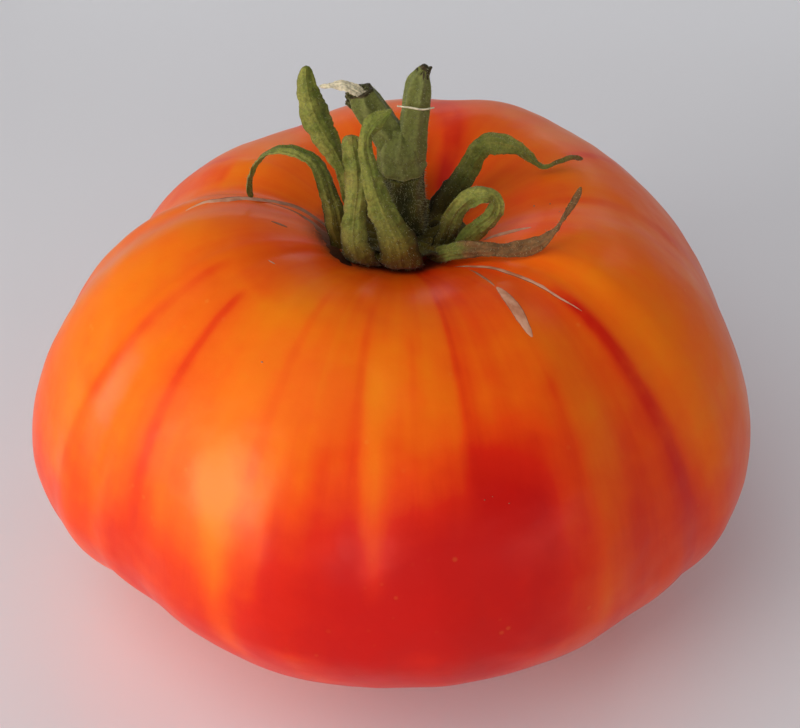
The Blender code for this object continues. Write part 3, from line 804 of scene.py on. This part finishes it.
def plant_material(name, group, green, pale, dry):
    """Finely hairy plant tissue with a faint sheen."""
    material, n, shader = new_material(
        name, IOR=1.4, Specular_IOR_Level=0.3, Sheen_Weight=0.08, Sheen_Roughness=0.5,
        Subsurface_Weight=0.06, Subsurface_Radius=(0.6, 1.0, 0.2), Subsurface_Scale=0.001)
    look = n.group(
        group, Green=(*green, 1.0), Pale=(*pale, 1.0), Dry=(*dry, 1.0), Vein=n.attribute("vein"),
        Paleness=n.attribute("pale"), Dryness=n.attribute("dry"), Shade=n.attribute("shade"),
        Olive=n.attribute("olive"))
    n.feed(shader.inputs["Base Color"], look.outputs["Colour"])
    n.feed(shader.inputs["Roughness"], n.ramp(look.outputs["Grain"], 0.3, 0.7, 0.55, 0.8))
    n.relief(shader, look.outputs["Relief"], 0.5, 0.0003)
    return material


def shared_group(name, make, *values):
    """The shader group of that name, made if it isn't there yet."""
    return bpy.data.node_groups.get(name) or make(*values)


# Shapes

def blush_values(azimuth, polar):
    """Ripeness and streaks, with painted groove shade, at points of the skin; polar in degrees."""
    start, soft, shoulder, flank = (ring_value(BLUSH, azimuth, k) for k in range(1, 5))
    risen = ease((polar - start) / (2.4 * soft) + 0.5)
    cavity = CAVITY_BLUSH * ease((CAVITY_BLUSH_FROM - polar) / CAVITY_BLUSH_OVER)
    fading = FOOT_FADING * ease((polar - FOOT_FADING_FROM) / FOOT_FADING_OVER)
    ripe = shoulder + cavity + (flank - shoulder) * risen * (1.0 - fading)
    for top, low, half, begin, end, change in TONGUES:
        t = (polar - begin) / (end - begin)
        middle = top + (low - top) * np.clip(t, 0.0, 1.0)
        fade = ease(t * 4.0 + 0.5) * ease((1.0 - t) * 4.0 + 0.5)
        narrowing = half * (1.1 - 0.4 * np.clip(t, 0.0, 1.0))
        ripe = ripe + change * fade * bump(turn(azimuth - middle), narrowing)
    streak = np.zeros_like(azimuth)
    for top, low, half, begin, end, strength in STREAKS:
        t = (polar - begin) / (end - begin)
        middle = top + (low - top) * np.clip(t, 0.0, 1.0)
        fade = 0.95 - 0.3 * np.clip(t, 0.0, 1.0)
        fade = fade * ease(t * 8.0 + 0.5) * ease((1.0 - t) * 6.0 + 0.5)
        away = turn(azimuth - middle)
        # A thin red line, with a faint wide halo round it: painted shade along the groove
        line = bump(away, half) + 0.26 * bump(away, 3.4 * half)
        streak = np.maximum(streak, strength * fade * np.minimum(line, 1.0))
    return {"ripe": ripe, "streak": streak}


def uneven_skin(points, settings):
    """How far the skin's natural unevenness lifts it, in mm."""
    fine = roughness_field(points, UNEVEN_FINE, 2)
    uneven = roughness_field(points, UNEVEN_BROAD, 1) + UNEVEN_FINE_SHARE * fine
    grip = ease((points[:, 2] - UNEVEN_FROM) / UNEVEN_OVER)
    return (uneven * grip * settings.unevenness / MM)[:, None]


def make_skin(settings):
    """The fruit's whole skin with its ripeness and corky places."""
    shape = Shape(settings.around, settings.rings)
    polar = shape.polar - 0.07 * np.sin(2.0 * shape.polar)
    azimuth = np.degrees(shape.angle)
    points = skin_point(azimuth, polar)
    normals = skin_normal(azimuth, polar)
    points = points + normals * uneven_skin(points, settings)
    points[:, 2] = np.maximum(points[:, 2], 0.0)
    shape.move(points)
    polar = np.degrees(polar)
    shape.values = blush_values(azimuth, polar)
    middle = ease((CORK_MIDDLE_POLAR - polar) / CORK_MIDDLE_SOFT)
    # Patch beside the calyx: partly corky skin, partly painted shade of the cavity wall
    patch = bump(turn(azimuth - CORK_AND_SHADE_PATCH_AZIMUTH), CORK_AND_SHADE_PATCH_WIDTH)
    patch = patch * bump(polar - CORK_AND_SHADE_PATCH_POLAR, CORK_AND_SHADE_PATCH_SOFT)
    blossom = ease((polar - BLOSSOM_SCAR_POLAR) / BLOSSOM_SCAR_SOFT)
    cork = middle * CORK_MIDDLE + CORK_AND_SHADE_PATCH * patch + blossom
    shape.values["cork"] = np.clip(cork, 0.0, 1.0)
    return shape


def scar_shape(settings, widths, corks_and_shade, dark_side, rough, path):
    """A slim raised ribbon of healed tissue lying on the skin; its edge sinks under it."""
    shape = Shape(SCAR_AROUND, SCAR_ROWS)
    here, ahead, behind = (
        spline([(a, p, 0.0) for a, p in path], np.clip(shape.along + step, 0.0, 1.0))
        for step in (0.0, 0.01, -0.01))
    middle = skin_point(here[:, 0], np.radians(here[:, 1]))
    normal = skin_normal(here[:, 0], np.radians(here[:, 1]))
    forward = unit(skin_point(ahead[:, 0], np.radians(ahead[:, 1]))
                   - skin_point(behind[:, 0], np.radians(behind[:, 1])))
    side = np.cross(normal, forward)
    across = np.cos(shape.angle)
    up = np.sin(shape.angle)
    width = widths[0] + (widths[1] - widths[0]) * shape.along
    ragged = 0.35 * roughness_field(middle, 0.8, 3) + 0.25 * roughness_field(middle, 3.0, 4)
    ragged = 1.0 + rough * ragged
    taper = np.clip(np.sin(math.pi * shape.along), 0.0, 1.0) ** 0.5
    wander = 0.2 * rough * width * roughness_field(middle, 2.2, 5)
    half = 0.5 * width * ragged * taper
    points = middle + side * (across * half + wander)[:, None]
    rise = np.where(up > 0.0, SCAR_HEIGHT * up - SCAR_SINK, SCAR_ROOT * up) * (0.3 + 0.7 * taper)
    shape.move(points + normal * (rise[:, None] + uneven_skin(points, settings)))
    shape.values = blush_values(here[:, 0], here[:, 1])
    if dark_side:
        shape.values["line"] = ease((dark_side * across - 0.55) / 0.25)
    else:
        shape.values["line"] = 0.8 * ease((np.abs(across) - 0.74) / 0.2)
    shape.values["fringe"] = ease((np.abs(across) - 0.86) / 0.14)
    shape.values["cork"] = corks_and_shade[0] + (corks_and_shade[1] - corks_and_shade[0]) * shape.along
    return shape


def speck_shape(settings, azimuth, polar, size):
    """A tiny corky speck."""
    shape = Shape(12, 8)
    a = np.full(len(shape.angle), azimuth)
    p = np.full(len(shape.angle), math.radians(polar))
    centre, normal = skin_point(a, p), skin_normal(a, p)
    side = unit(np.cross(normal, np.array([[0.0, 0.0, 1.0]])))
    other = np.cross(normal, side)
    reach = np.sin(shape.polar) * size
    points = centre + side * (reach * np.cos(shape.angle))[:, None]
    points = points + other * (0.6 * reach * np.sin(shape.angle))[:, None]
    rise = (SPECK_HEIGHT * np.cos(shape.polar) - SPECK_SINK)[:, None]
    shape.move(points + normal * (rise + uneven_skin(points, settings)))
    shape.values = blush_values(a, np.degrees(p))
    shape.values["line"] = np.full(len(a), 0.4)
    shape.values["fringe"] = ease((np.sin(shape.polar) - 0.5) / 0.5)
    shape.values["cork"] = np.full(len(a), 0.5)
    return shape


def plant_values(points, **known):
    """The known values of plant tissue, and nought for the rest."""
    return {key: known.get(key, np.zeros(len(points))) for key in PLANT_VALUES}


def cup_shape():
    """The fleshy cup the sepals grow from, lying just above the cavity floor."""
    shape = Shape(96, 32)
    x = np.sin(shape.polar) * np.cos(shape.angle)
    y = np.sin(shape.polar) * np.sin(shape.angle)
    radius = CUP_RADIUS * np.hypot(x, y)
    lobed = 1.0 - 0.05 * (1.0 - np.cos(CUP_LOBES * shape.angle)) * ease(radius / CUP_RADIUS)
    up = cavity_floor(radius + abs(CUP_X)) + CUP_CLEARANCE
    up += CUP_THICKNESS * (1.0 + np.cos(shape.polar)) / 2.0
    ridges = CUP_RIDGE * (np.cos(CUP_RIDGES * shape.angle) - 1.0)
    up += ridges * bump(radius - CUP_RIDGE_RADIUS, 2.5) * (shape.polar < 1.5)
    points = np.stack([CUP_X + CUP_RADIUS * x * lobed, CUP_RADIUS * y * lobed, up], axis=-1)
    shape.move(points)
    # Olive all over: its own olive and painted warm light bounced from the fruit; painted shade
    # darkens the rim
    shape.values = plant_values(
        x, vein=0.3 * (0.5 + 0.5 * np.cos(24.0 * shape.angle)), pale=np.full(len(x), 0.4),
        olive=np.full(len(x), 0.8), shade=0.35 + 0.4 * ease((radius / CUP_RADIUS - 0.6) / 0.4))
    return shape


def blade_shape(stations, cupping, settings, seed, thick=1.0, fleshy=0.0, crinkled=1.0):
    """A cupped, crinkled blade with a midrib, and the places along, across and inward on it."""
    shape = Shape(settings.leaf_around, settings.leaf_rows)
    t = shape.along
    across = np.cos(shape.angle)
    inner = np.sin(shape.angle)
    here = spline(stations, t)
    along = tangent(stations, t)
    facing = np.radians(here[:, 4])
    side = np.stack([-np.sin(facing), np.cos(facing), np.zeros_like(t)], axis=-1)
    side = unit(side - along * np.sum(side * along, axis=1, keepdims=True))
    face = unit(np.cross(side, along))
    tilt = np.radians(here[:, 5])[:, None]
    side, face = (
        side * np.cos(tilt) + face * np.sin(tilt), face * np.cos(tilt) - side * np.sin(tilt))
    half = np.maximum(here[:, 3], LEAST_WIDTH) / 2.0
    ends = np.sqrt(np.clip(1.0 - (2.0 * t - 1.0) ** 20, 0.0, 1.0))
    edge_walk = np.stack([t * 40.0, across * 2.0, np.zeros_like(t)], -1)
    ragged = 1.0 + EDGE_WAVER * roughness_field(edge_walk, 2.2, seed)
    ragged = ragged + EDGE_FRAY * roughness_field(edge_walk, 0.7, seed + 3)
    blade = ease((t - 0.08) / 0.25)
    flat = here[:, :3] + side * (across * half)[:, None]
    crinkle = roughness_field(flat, 1.4, seed + 1) + 0.6 * roughness_field(flat, 0.6, seed + 2)
    wave = np.sin(2.0 * math.pi * (3.2 * t + 0.37 * seed)) * across ** 3
    pleats = np.cos(2.3 * math.pi * across + 3.0 * np.sin(5.0 * t + seed))
    pleats = pleats * np.sin(math.pi * t) ** 0.5
    bow = cupping * blade * half * (1.0 - np.abs(across) ** 1.4)
    shift = bow + crinkled * settings.crinkle / MM * (crinkle + 1.6 * wave * blade)
    shift = shift + crinkled * settings.pleat / MM * pleats
    wall = thick * settings.leaf_thickness / MM * (0.55 + 0.6 * (1.0 - t) ** 2)
    wall = wall + fleshy * ease((BASE_END - t) / BASE_END)
    rib = RIB_DEPTH * thick * bump(across, RIB_WIDTH) * np.clip(-inner, 0.0, 1.0)
    groove = GROOVE_DEPTH * thick * bump(across - 0.05, GROOVE_WIDTH) * np.clip(inner, 0.0, 1.0)
    depth = 0.5 * wall * inner * (1.0 - 0.4 * across ** 2) - rib - groove
    points = here[:, :3] + side * (across * half * ragged * ends)[:, None]
    shape.move(points + face * ((shift + depth) * ends)[:, None])
    lines = 0.5 + 0.5 * np.cos(across * 15.0 + 1.5 * crinkle)
    shape.values = plant_values(
        t, vein=(0.5 * lines ** 3 + 0.7 * bump(across, 0.1)) * (1.0 - 0.5 * t))
    return shape, t, across, inner


def sepal_shape(
        settings, seed, cupping, fleshy, olive_to, dry_from, dry_tip, pale, dim, stations):
    """One sepal with a fleshy base, olive partly by painted bounced light, and a dry tip."""
    shape, t, across, inner = blade_shape(stations, cupping, settings, seed, fleshy=fleshy)
    dry = dry_tip * ease((t - dry_from) / max(1.0 - dry_from, 0.1) * 2.4)
    shape.values["pale"] = pale - 0.2 * across + 0.2 * np.abs(across) ** 4 + 0.15 * (inner < 0)
    dry_edge = 0.2 * np.abs(across) ** 6 * ease((t - 0.08) / 0.25) * (dry_tip > 0.2)
    shape.values["dry"] = dry + dry_edge
    # Olive at the base: its own olive and painted warm light bounced from the fruit
    shape.values["olive"] = ease((olive_to - t) / max(0.7 * olive_to, 0.1))
    shade = 0.6 * ease((olive_to - t) / 0.2) * np.abs(across) ** 3
    shade += dim * ease((olive_to + 0.1 - t) / 0.2) + 0.22 * np.abs(across) ** 8
    shape.values["shade"] = shade
    return shape


def stem_shape(stations, around, rows, ribs, depth, cap, seed, level=False):
    """A stem with lengthwise ridges and rounded ends; returns it with the place along it."""
    shape = Shape(around, rows)
    q = shape.along
    t = np.clip((q - cap) / (1.0 - 2.0 * cap), 0.0, 1.0)
    closing = np.clip(np.minimum(q, 1.0 - q) / cap, 0.0, 1.0)
    closing = np.sin(closing * math.pi / 2.0)
    here = spline(stations, t)
    along = tangent(stations, t)
    if level:
        along = np.broadcast_to(np.array([0.0, 0.0, 1.0]), along.shape)
    side = np.broadcast_to(np.array([1.0, 0.0, 0.0]), along.shape)
    side = unit(side - along * np.sum(side * along, axis=1, keepdims=True))
    other = np.cross(along, side)
    round_about = side * np.cos(shape.angle)[:, None] * 3.0
    round_about = here[:, :3] + round_about + other * np.sin(shape.angle)[:, None] * 3.0
    uneven = roughness_field(round_about, 1.5, seed)
    ridge = np.cos(ribs * shape.angle + 1.7 * np.sin(3.0 * t) + seed)
    swell = 1.0 + depth * 0.5 * (ridge - 1.0) + 0.05 * (uneven - 0.5)
    radius = here[:, 3] * swell * closing
    points = here[:, :3] + side * (radius * np.cos(shape.angle))[:, None]
    points = points + other * (radius * np.sin(shape.angle))[:, None]
    shape.move(points)
    shape.values = plant_values(
        t, vein=np.clip(ridge, 0.0, 1.0) ** 2 * 0.6, pale=0.35 + 0.3 * uneven)
    return shape, t


def scatter(obj, count, rng):
    """Random places on an object's four-sided faces and the way they face, in metres."""
    mesh = obj.data
    points = np.empty(len(mesh.vertices) * 3)
    mesh.vertices.foreach_get("co", points)
    starts = np.array([f.loop_start for f in mesh.polygons if f.loop_total == 4])
    corners = np.empty(len(mesh.loops), dtype=np.int32)
    mesh.loops.foreach_get("vertex_index", corners)
    corners = corners[starts[:, None] + np.arange(4)]
    first = np.argmin(corners, axis=1)[:, None]
    corners = np.take_along_axis(corners, (first + np.arange(4)) % 4, axis=1)
    a, b, c, d = (points.reshape(-1, 3)[corners[:, k]] for k in range(4))
    facing = np.cross(c - a, d - b)
    area = np.linalg.norm(facing, axis=1)
    pick = rng.choice(len(area), size=count, p=area / area.sum())
    u, v = rng.random(count)[:, None], rng.random(count)[:, None]
    low = a[pick] + (b - a)[pick] * u
    high = d[pick] + (c - d)[pick] * u
    return low + (high - low) * v, facing[pick] / np.maximum(area[pick], 1e-12)[:, None]


class Loose:
    """A made mesh with no values on its points."""

    def __init__(self, mesh):
        self.mesh = mesh
        self.values = {}


def hair_shapes(places, rng, settings, longest):
    """Slim three-sided hairs standing on the given places, made a few at a time."""
    shapes = []
    pairs = list(zip(*places))
    for first in range(0, len(pairs), HAIRS_A_BATCH):
        bm = bmesh.new()
        for where, facing in pairs[first:first + HAIRS_A_BATCH]:
            lean = Vector(facing) + Vector(rng.normal(0.0, HAIR_LEAN, 3))
            length = longest * (0.35 + 0.65 * rng.random())
            turned = lean.to_track_quat("Z", "Y").to_matrix().to_4x4()
            root = Vector(where) - Vector(facing) * HAIR_ROOT
            middle = Matrix.Translation((0.0, 0.0, length / 2.0))
            bmesh.ops.create_cone(
                bm, cap_ends=True, segments=3, radius1=settings.radius, radius2=0.0, depth=length,
                matrix=Matrix.Translation(root) @ turned @ middle)
        shapes.append(Loose(loose_mesh(bm)))
    return shapes


# Stage

def show(obj):
    """Put an object in the scene."""
    bpy.context.scene.collection.objects.link(obj)
    return obj


def make_floor(settings):
    """A large pale floor with a faint variation of tone."""
    bm = bmesh.new()
    bmesh.ops.create_grid(bm, x_segments=2, y_segments=2, size=settings.floor_size / 2.0)
    mesh = loose_mesh(bm, "floor")
    material, n, shader = new_material("pale_floor", Roughness=0.26, IOR=1.5)
    darker = tuple(v * 0.97 for v in settings.floor_colour)
    n.feed(shader.inputs["Base Color"],
           n.mix(n.noise(n.position(), 14.0), settings.floor_colour, darker))
    mesh.materials.append(material)
    show(bpy.data.objects.new("floor", mesh))


def make_surroundings(settings):
    """Soft light from all round, brighter at the left and near the floor, dimmed in gloss."""
    world = bpy.data.worlds.new("studio")
    world.use_nodes = True
    bpy.context.scene.world = world
    n = Nodes(world.node_tree)
    sky = world.node_tree.nodes["Background"]
    towards = n.add("ShaderNodeSeparateXYZ")
    n.feed(towards.inputs[0], n.add("ShaderNodeTexCoord").outputs["Generated"])
    up = towards.outputs["Z"]
    height = n.ramp(up, SKY_LOW, SKY_HIGH, settings.horizon, settings.zenith)
    leftward = n.ramp(towards.outputs["X"], 0.9, -0.9, SKY_RIGHT, SKY_LEFT)
    glossy = n.add("ShaderNodeLightPath").outputs["Is Glossy Ray"]
    loss = n.ramp(up, GLOSS_LOW, GLOSS_HIGH, 0.0, 1.0 - settings.reflection)
    dimming = n.math("SUBTRACT", 1.0, n.math("MULTIPLY", glossy, loss))
    sky.inputs["Color"].default_value = (*settings.sky_colour, 1.0)
    soft = n.math("MULTIPLY", height, leftward)
    n.feed(sky.inputs["Strength"], n.math("MULTIPLY", soft, dimming))


def make_light(name, direction, distance, width, height, strength, colour):
    """A soft rectangular light that faces the tomato."""
    lamp = bpy.data.lights.new(name, "AREA")
    lamp.shape = "RECTANGLE"
    lamp.size = width
    lamp.size_y = height
    lamp.energy = strength * (math.pi * distance) ** 2
    lamp.color = colour
    light = show(bpy.data.objects.new(name, lamp))
    towards = Vector(direction).normalized()
    light.location = Vector(LIGHTS_AIM) + towards * distance
    light.rotation_euler = towards.to_track_quat("Z", "Y").to_euler()
    light.visible_glossy = name != CANOPY[0]


def make_camera():
    """The camera at the photograph's viewing angle."""
    lens = bpy.data.cameras.new("camera")
    lens.sensor_width = CAMERA_SENSOR
    lens.lens = CAMERA_LENS
    lens.clip_start = CAMERA_NEAR
    lens.dof.use_dof = False
    camera = show(bpy.data.objects.new("camera", lens))
    camera.matrix_world = (
        Matrix.Translation(CAMERA_PLACE)
        @ Matrix.Rotation(math.radians(CAMERA_TILT), 4, "X")
        @ Matrix.Rotation(math.radians(CAMERA_ROLL), 4, "Z"))
    bpy.context.scene.camera = camera


# Settings

def colour_property(name, description, default):
    """A colour that the user can change."""
    return bpy.props.FloatVectorProperty(
        name=name, description=description, subtype="COLOR", size=3, min=0.0, max=1.0,
        default=default)


def length_property(name, description, default):
    """A length in metres that the user can change."""
    return bpy.props.FloatProperty(
        name=name, description=description, unit="LENGTH", min=0.0, default=default, precision=6)


class SkinSettings(bpy.types.PropertyGroup):
    """Form and colours of the fruit's skin"""
    around: bpy.props.IntProperty(
        name="Sections round", description="Faces round the fruit", default=480, min=24)
    rings: bpy.props.IntProperty(
        name="Rings", description="Faces from crown to foot", default=200, min=12)
    unevenness: length_property("Unevenness", "Height of the skin's natural unevenness", 0.00016)
    shoulder: colour_property("Shoulder", "Least ripe skin", tint(255, 132, 10))
    orange: colour_property("Orange", "Skin about to turn", tint(255, 108, 8))
    flame: colour_property("Flame", "Skin where orange meets red", tint(246, 74, 5))
    red: colour_property("Red", "Ripe skin", tint(226, 34, 4))
    deep_red: colour_property("Deep red", "Ripest skin", tint(207, 15, 3))
    cork: colour_property("Cork", "Corky skin in the cavity", tint(92, 54, 34))
    scar_pale: colour_property("Healed tissue", "Pale healed tissue", tint(234, 172, 138))
    scar_dark: colour_property("Healed edge", "Darker healed tissue", tint(208, 134, 98))


class LeafSettings(bpy.types.PropertyGroup):
    """Form and colours of the calyx"""
    leaf_around: bpy.props.IntProperty(
        name="Sections across", description="Faces round a sepal", default=44, min=8)
    leaf_rows: bpy.props.IntProperty(
        name="Rows", description="Faces along a sepal", default=130, min=12)
    leaf_thickness: length_property("Sepal thickness", "Thickness of a sepal", 0.00048)
    crinkle: length_property("Crinkle", "Height of the crinkles in a sepal", 0.00022)
    pleat: length_property("Pleats", "Depth of the long folds in a sepal", 0.00009)
    green: colour_property("Green", "Sepal green", tint(92, 110, 36))
    pale: colour_property("Pale green", "Yellowish green of bases and edges", tint(154, 152, 70))
    dry: colour_property("Dry", "Dried tips", tint(134, 94, 54))


class StemSettings(bpy.types.PropertyGroup):
    """Colours of the stalk and the truss"""
    green: colour_property("Stalk green", "Hairy dark stalk", tint(46, 50, 16))
    pale: colour_property("Stalk pale", "Lighter ridges of the stalk", tint(112, 108, 44))
    truss_green: colour_property("Truss green", "Piece of truss", tint(102, 108, 44))
    truss_pale: colour_property("Truss pale", "Lighter fibres of the truss", tint(146, 148, 84))
    torn: colour_property("Torn tissue", "Dry torn end", tint(236, 222, 186))
    dark_end: colour_property("Dark end", "Blackened dry end", tint(66, 58, 34))


class HairSettings(bpy.types.PropertyGroup):
    """Number and size of the fine hairs"""
    radius: length_property("Hair radius", "Radius of a hair at its root", 0.000028)
    stalk_length: length_property("Stalk hair", "Longest hair on the stalk", 0.0007)
    leaf_length: length_property("Sepal hair", "Longest hair on a sepal", 0.00055)
    stalk_count: bpy.props.IntProperty(
        name="Stalk hairs", description="Hairs on each stem piece", default=1800, min=0)
    leaf_count: bpy.props.IntProperty(
        name="Sepal hairs", description="Hairs on the sepals", default=5000, min=0)
    seed: bpy.props.IntProperty(name="Seed", description="Random seed", default=7)


class StageSettings(bpy.types.PropertyGroup):
    """Floor and soft surroundings"""
    floor_size: length_property("Floor", "Side of the floor", 4.0)
    floor_colour: colour_property("Floor colour", "Pale floor", (0.91, 0.90, 0.925))
    sky_colour: colour_property("Surroundings", "Soft light from all round", (0.86, 0.87, 0.90))
    horizon: bpy.props.FloatProperty(
        name="Low light", description="Strength of the soft light near the floor", default=0.62)
    zenith: bpy.props.FloatProperty(
        name="High light", description="Strength of the soft light from above", default=0.34)
    reflection: bpy.props.FloatProperty(
        name="Reflected surroundings", description="Share of the soft light that gloss reflects",
        default=0.27)


class RibbedTomato(bpy.types.PropertyGroup):
    """All settings of the tomato"""
    skin: bpy.props.PointerProperty(type=SkinSettings, name="Skin", description="Fruit skin")
    leaf: bpy.props.PointerProperty(type=LeafSettings, name="Calyx", description="Sepals")
    stem: bpy.props.PointerProperty(type=StemSettings, name="Stem", description="Stem pieces")
    hair: bpy.props.PointerProperty(type=HairSettings, name="Hairs", description="Fine hairs")
    stage: bpy.props.PointerProperty(type=StageSettings, name="Stage", description="Studio")


# Operators

class TOMATO_OT_skin(bpy.types.Operator):
    """Make the ribbed fruit with its ripening skin"""
    bl_idname = "tomato.skin"
    bl_label = "Fruit skin"

    def execute(self, context):
        settings = context.scene.ribbed_tomato.skin
        group = shared_group("tomato_skin_colour", skin_colour_group, settings)
        finish_piece(
            "fruit_skin", [make_skin(settings)], skin_material(settings, group), "fruit")
        return {"FINISHED"}


class TOMATO_OT_scars(bpy.types.Operator):
    """Lay the healed cracks, corky edges and specks on the skin"""
    bl_idname = "tomato.scars"
    bl_label = "Skin scars"

    def execute(self, context):
        settings = context.scene.ribbed_tomato.skin
        group = shared_group("tomato_skin_colour", skin_colour_group, settings)
        shapes = [scar_shape(settings, *scar) for scar in SCARS]
        shapes += [speck_shape(settings, *speck) for speck in SPECKS]
        finish_piece("skin_scars", shapes, scar_material(settings, group))
        return {"FINISHED"}


class TOMATO_OT_calyx(bpy.types.Operator):
    """Make the calyx: a cup and eight sepals with midribs, crinkles and dry tips"""
    bl_idname = "tomato.calyx"
    bl_label = "Calyx"

    def execute(self, context):
        settings = context.scene.ribbed_tomato.leaf
        group = shared_group("plant_tissue", plant_group)
        material = plant_material(
            "sepal_leaf", group, settings.green, settings.pale, settings.dry)
        sepals = [
            sepal_shape(settings, SEPAL_SEED + i * SEPAL_SEED_STEP, *sepal)
            for i, sepal in enumerate(SEPALS)]
        finish_piece("calyx_leaves", [cup_shape(), *sepals], material, "calyx")
        return {"FINISHED"}


class TOMATO_OT_stalk(bpy.types.Operator):
    """Make the hairy stalk between the calyx and the knuckle"""
    bl_idname = "tomato.stalk"
    bl_label = "Stalk"

    def execute(self, context):
        settings = context.scene.ribbed_tomato.stem
        group = shared_group("plant_tissue", plant_group)
        material = plant_material(
            "stalk_rind", group, settings.green, settings.pale, settings.torn)
        shape, t = stem_shape(
            PEDICEL, 96, 80, ribs=6, depth=0.10, cap=0.04, seed=STALK_SEED, level=True)
        shape.values["shade"] = 0.5 * ease((0.25 - t) / 0.25)
        shape.values["pale"] += 0.4 * ease((t - 0.9) / 0.1)
        # Painted light: a paler strip down the stalk's front-right side, the rest a little less
        # pale
        shape.values["pale"] += 0.7 * bump(turn(np.degrees(shape.angle) + 32.0), 20.0) - 0.25
        finish_piece("pedicel_stalk", [shape], material, "pedicel")
        return {"FINISHED"}


class TOMATO_OT_truss(bpy.types.Operator):
    """Make the forked piece of truss with its torn and dried ends"""
    bl_idname = "tomato.truss"
    bl_label = "Truss fork"

    def execute(self, context):
        settings = context.scene.ribbed_tomato.stem
        group = shared_group("plant_tissue", plant_group)
        rind = plant_material(
            "truss_rind", group, settings.truss_green, settings.truss_pale, settings.dark_end)
        trunk, t = stem_shape(
            STUB_TRUNK, 96, 90, ribs=8, depth=0.08, cap=0.05, seed=TRUNK_SEED, level=True)
        trunk.values["pale"] += 0.8 * ease((0.07 - t) / 0.07)
        right, t = stem_shape(
            RIGHT_BRANCH, 72, 100, ribs=6, depth=0.12, cap=0.04, seed=RIGHT_SEED)
        right.values["dry"] = ease((t - 0.94) / 0.06) * 1.1
        left, t = stem_shape(
            LEFT_BRANCH, 72, 100, ribs=6, depth=0.12, cap=0.04, seed=LEFT_SEED)
        left.values["dry"] = ease((t - 0.95) / 0.05) * 0.8
        shreds = [
            stem_shape(path, 28, 30, ribs=5, depth=0.6, cap=0.08, seed=ENDS_SEED + k)[0]
            for k, path in enumerate(DRY_TIP + TORN_FLESH)]
        for k, shape in enumerate(shreds):
            fresh = k >= len(DRY_TIP)
            shape.values["dry"] += TORN_DRYNESS if fresh else TIP_DRYNESS
            shape.values["pale"] += TORN_PALENESS if fresh else 0.0
        parts = [trunk, right, left, *shreds]
        finish_piece("truss_fork", parts, rind, "truss_stub")
        torn_pale = tuple(min(v * 1.3, 1.0) for v in settings.torn)
        torn = plant_material("torn_rind", group, settings.torn, torn_pale, settings.dark_end)
        flake, t, _, inner = blade_shape(
            TORN_FLAKE, 0.3, context.scene.ribbed_tomato.leaf, FLAKE_SEED, thick=0.5, crinkled=0.7)
        flake.values["dry"] = 0.5 * (inner < 0) + 0.5 * ease((0.15 - t) / 0.15)
        fibre, _ = stem_shape(FIBRE, 10, 40, ribs=2, depth=0.1, cap=0.05, seed=FIBRE_SEED)
        finish_piece("torn_skin", [flake, fibre], torn)
        return {"FINISHED"}


class TOMATO_OT_hairs(bpy.types.Operator):
    """Grow the fine pale hairs of the stem pieces and the sepals"""
    bl_idname = "tomato.hairs"
    bl_label = "Hairs"

    def execute(self, context):
        settings = context.scene.ribbed_tomato.hair
        rng = np.random.default_rng(settings.seed)
        material, n, shader = new_material("hair_down", IOR=1.4, Sheen_Weight=0.2)
        colour = n.mix(n.noise(n.position(), 900.0), tint(196, 190, 150), tint(160, 168, 110))
        n.feed(shader.inputs["Base Color"], colour)
        shader.inputs["Roughness"].default_value = 0.5
        few, many = settings.stalk_count, settings.leaf_count
        stalk, leaf = settings.stalk_length, settings.leaf_length
        for source, name, slot, count, longest in (
            ("pedicel_stalk", "stalk_hairs", "stalk_green", few, stalk),
            ("truss_fork", "truss_hairs", "truss_green", few, stalk * 0.7),
            ("calyx_leaves", "sepal_hairs", "sepal_green", many, leaf),
        ):
            places = scatter(bpy.data.objects[source], count, rng)
            finish_piece(name, hair_shapes(places, rng, settings, longest), material)
        return {"FINISHED"}


class TOMATO_OT_stage(bpy.types.Operator):
    """Set the pale floor, the soft windows, the surroundings and the camera"""
    bl_idname = "tomato.stage"
    bl_label = "Studio"

    def execute(self, context):
        settings = context.scene.ribbed_tomato.stage
        make_floor(settings)
        make_surroundings(settings)
        for light in (*WINDOWS, CANOPY):
            make_light(*light)
        make_camera()
        context.scene.view_settings.view_transform = "Standard"
        return {"FINISHED"}


STEPS = (
    TOMATO_OT_skin, TOMATO_OT_scars, TOMATO_OT_calyx, TOMATO_OT_stalk, TOMATO_OT_truss,
    TOMATO_OT_hairs, TOMATO_OT_stage,
)


class TOMATO_PT_sidebar(bpy.types.Panel):
    """Lists the steps that build the tomato"""
    bl_idname = "TOMATO_PT_sidebar"
    bl_label = "Ribbed tomato"
    bl_space_type = "VIEW_3D"
    bl_region_type = "UI"
    bl_category = "Tomato"

    def draw(self, context):
        for step in STEPS:
            self.layout.operator(step.bl_idname)


CLASSES = (
    SkinSettings, LeafSettings, StemSettings, HairSettings, StageSettings, RibbedTomato,
    *STEPS, TOMATO_PT_sidebar,
)


def register():
    for cls in CLASSES:
        bpy.utils.register_class(cls)
    bpy.types.Scene.ribbed_tomato = bpy.props.PointerProperty(type=RibbedTomato)


def unregister():
    del bpy.types.Scene.ribbed_tomato
    for cls in reversed(CLASSES):
        bpy.utils.unregister_class(cls)


def main():
    register()
    bpy.ops.tomato.skin()
    bpy.ops.tomato.scars()
    bpy.ops.tomato.calyx()
    bpy.ops.tomato.stalk()
    bpy.ops.tomato.truss()
    bpy.ops.tomato.hairs()
    bpy.ops.tomato.stage()


if __name__ == "__main__":
    main()
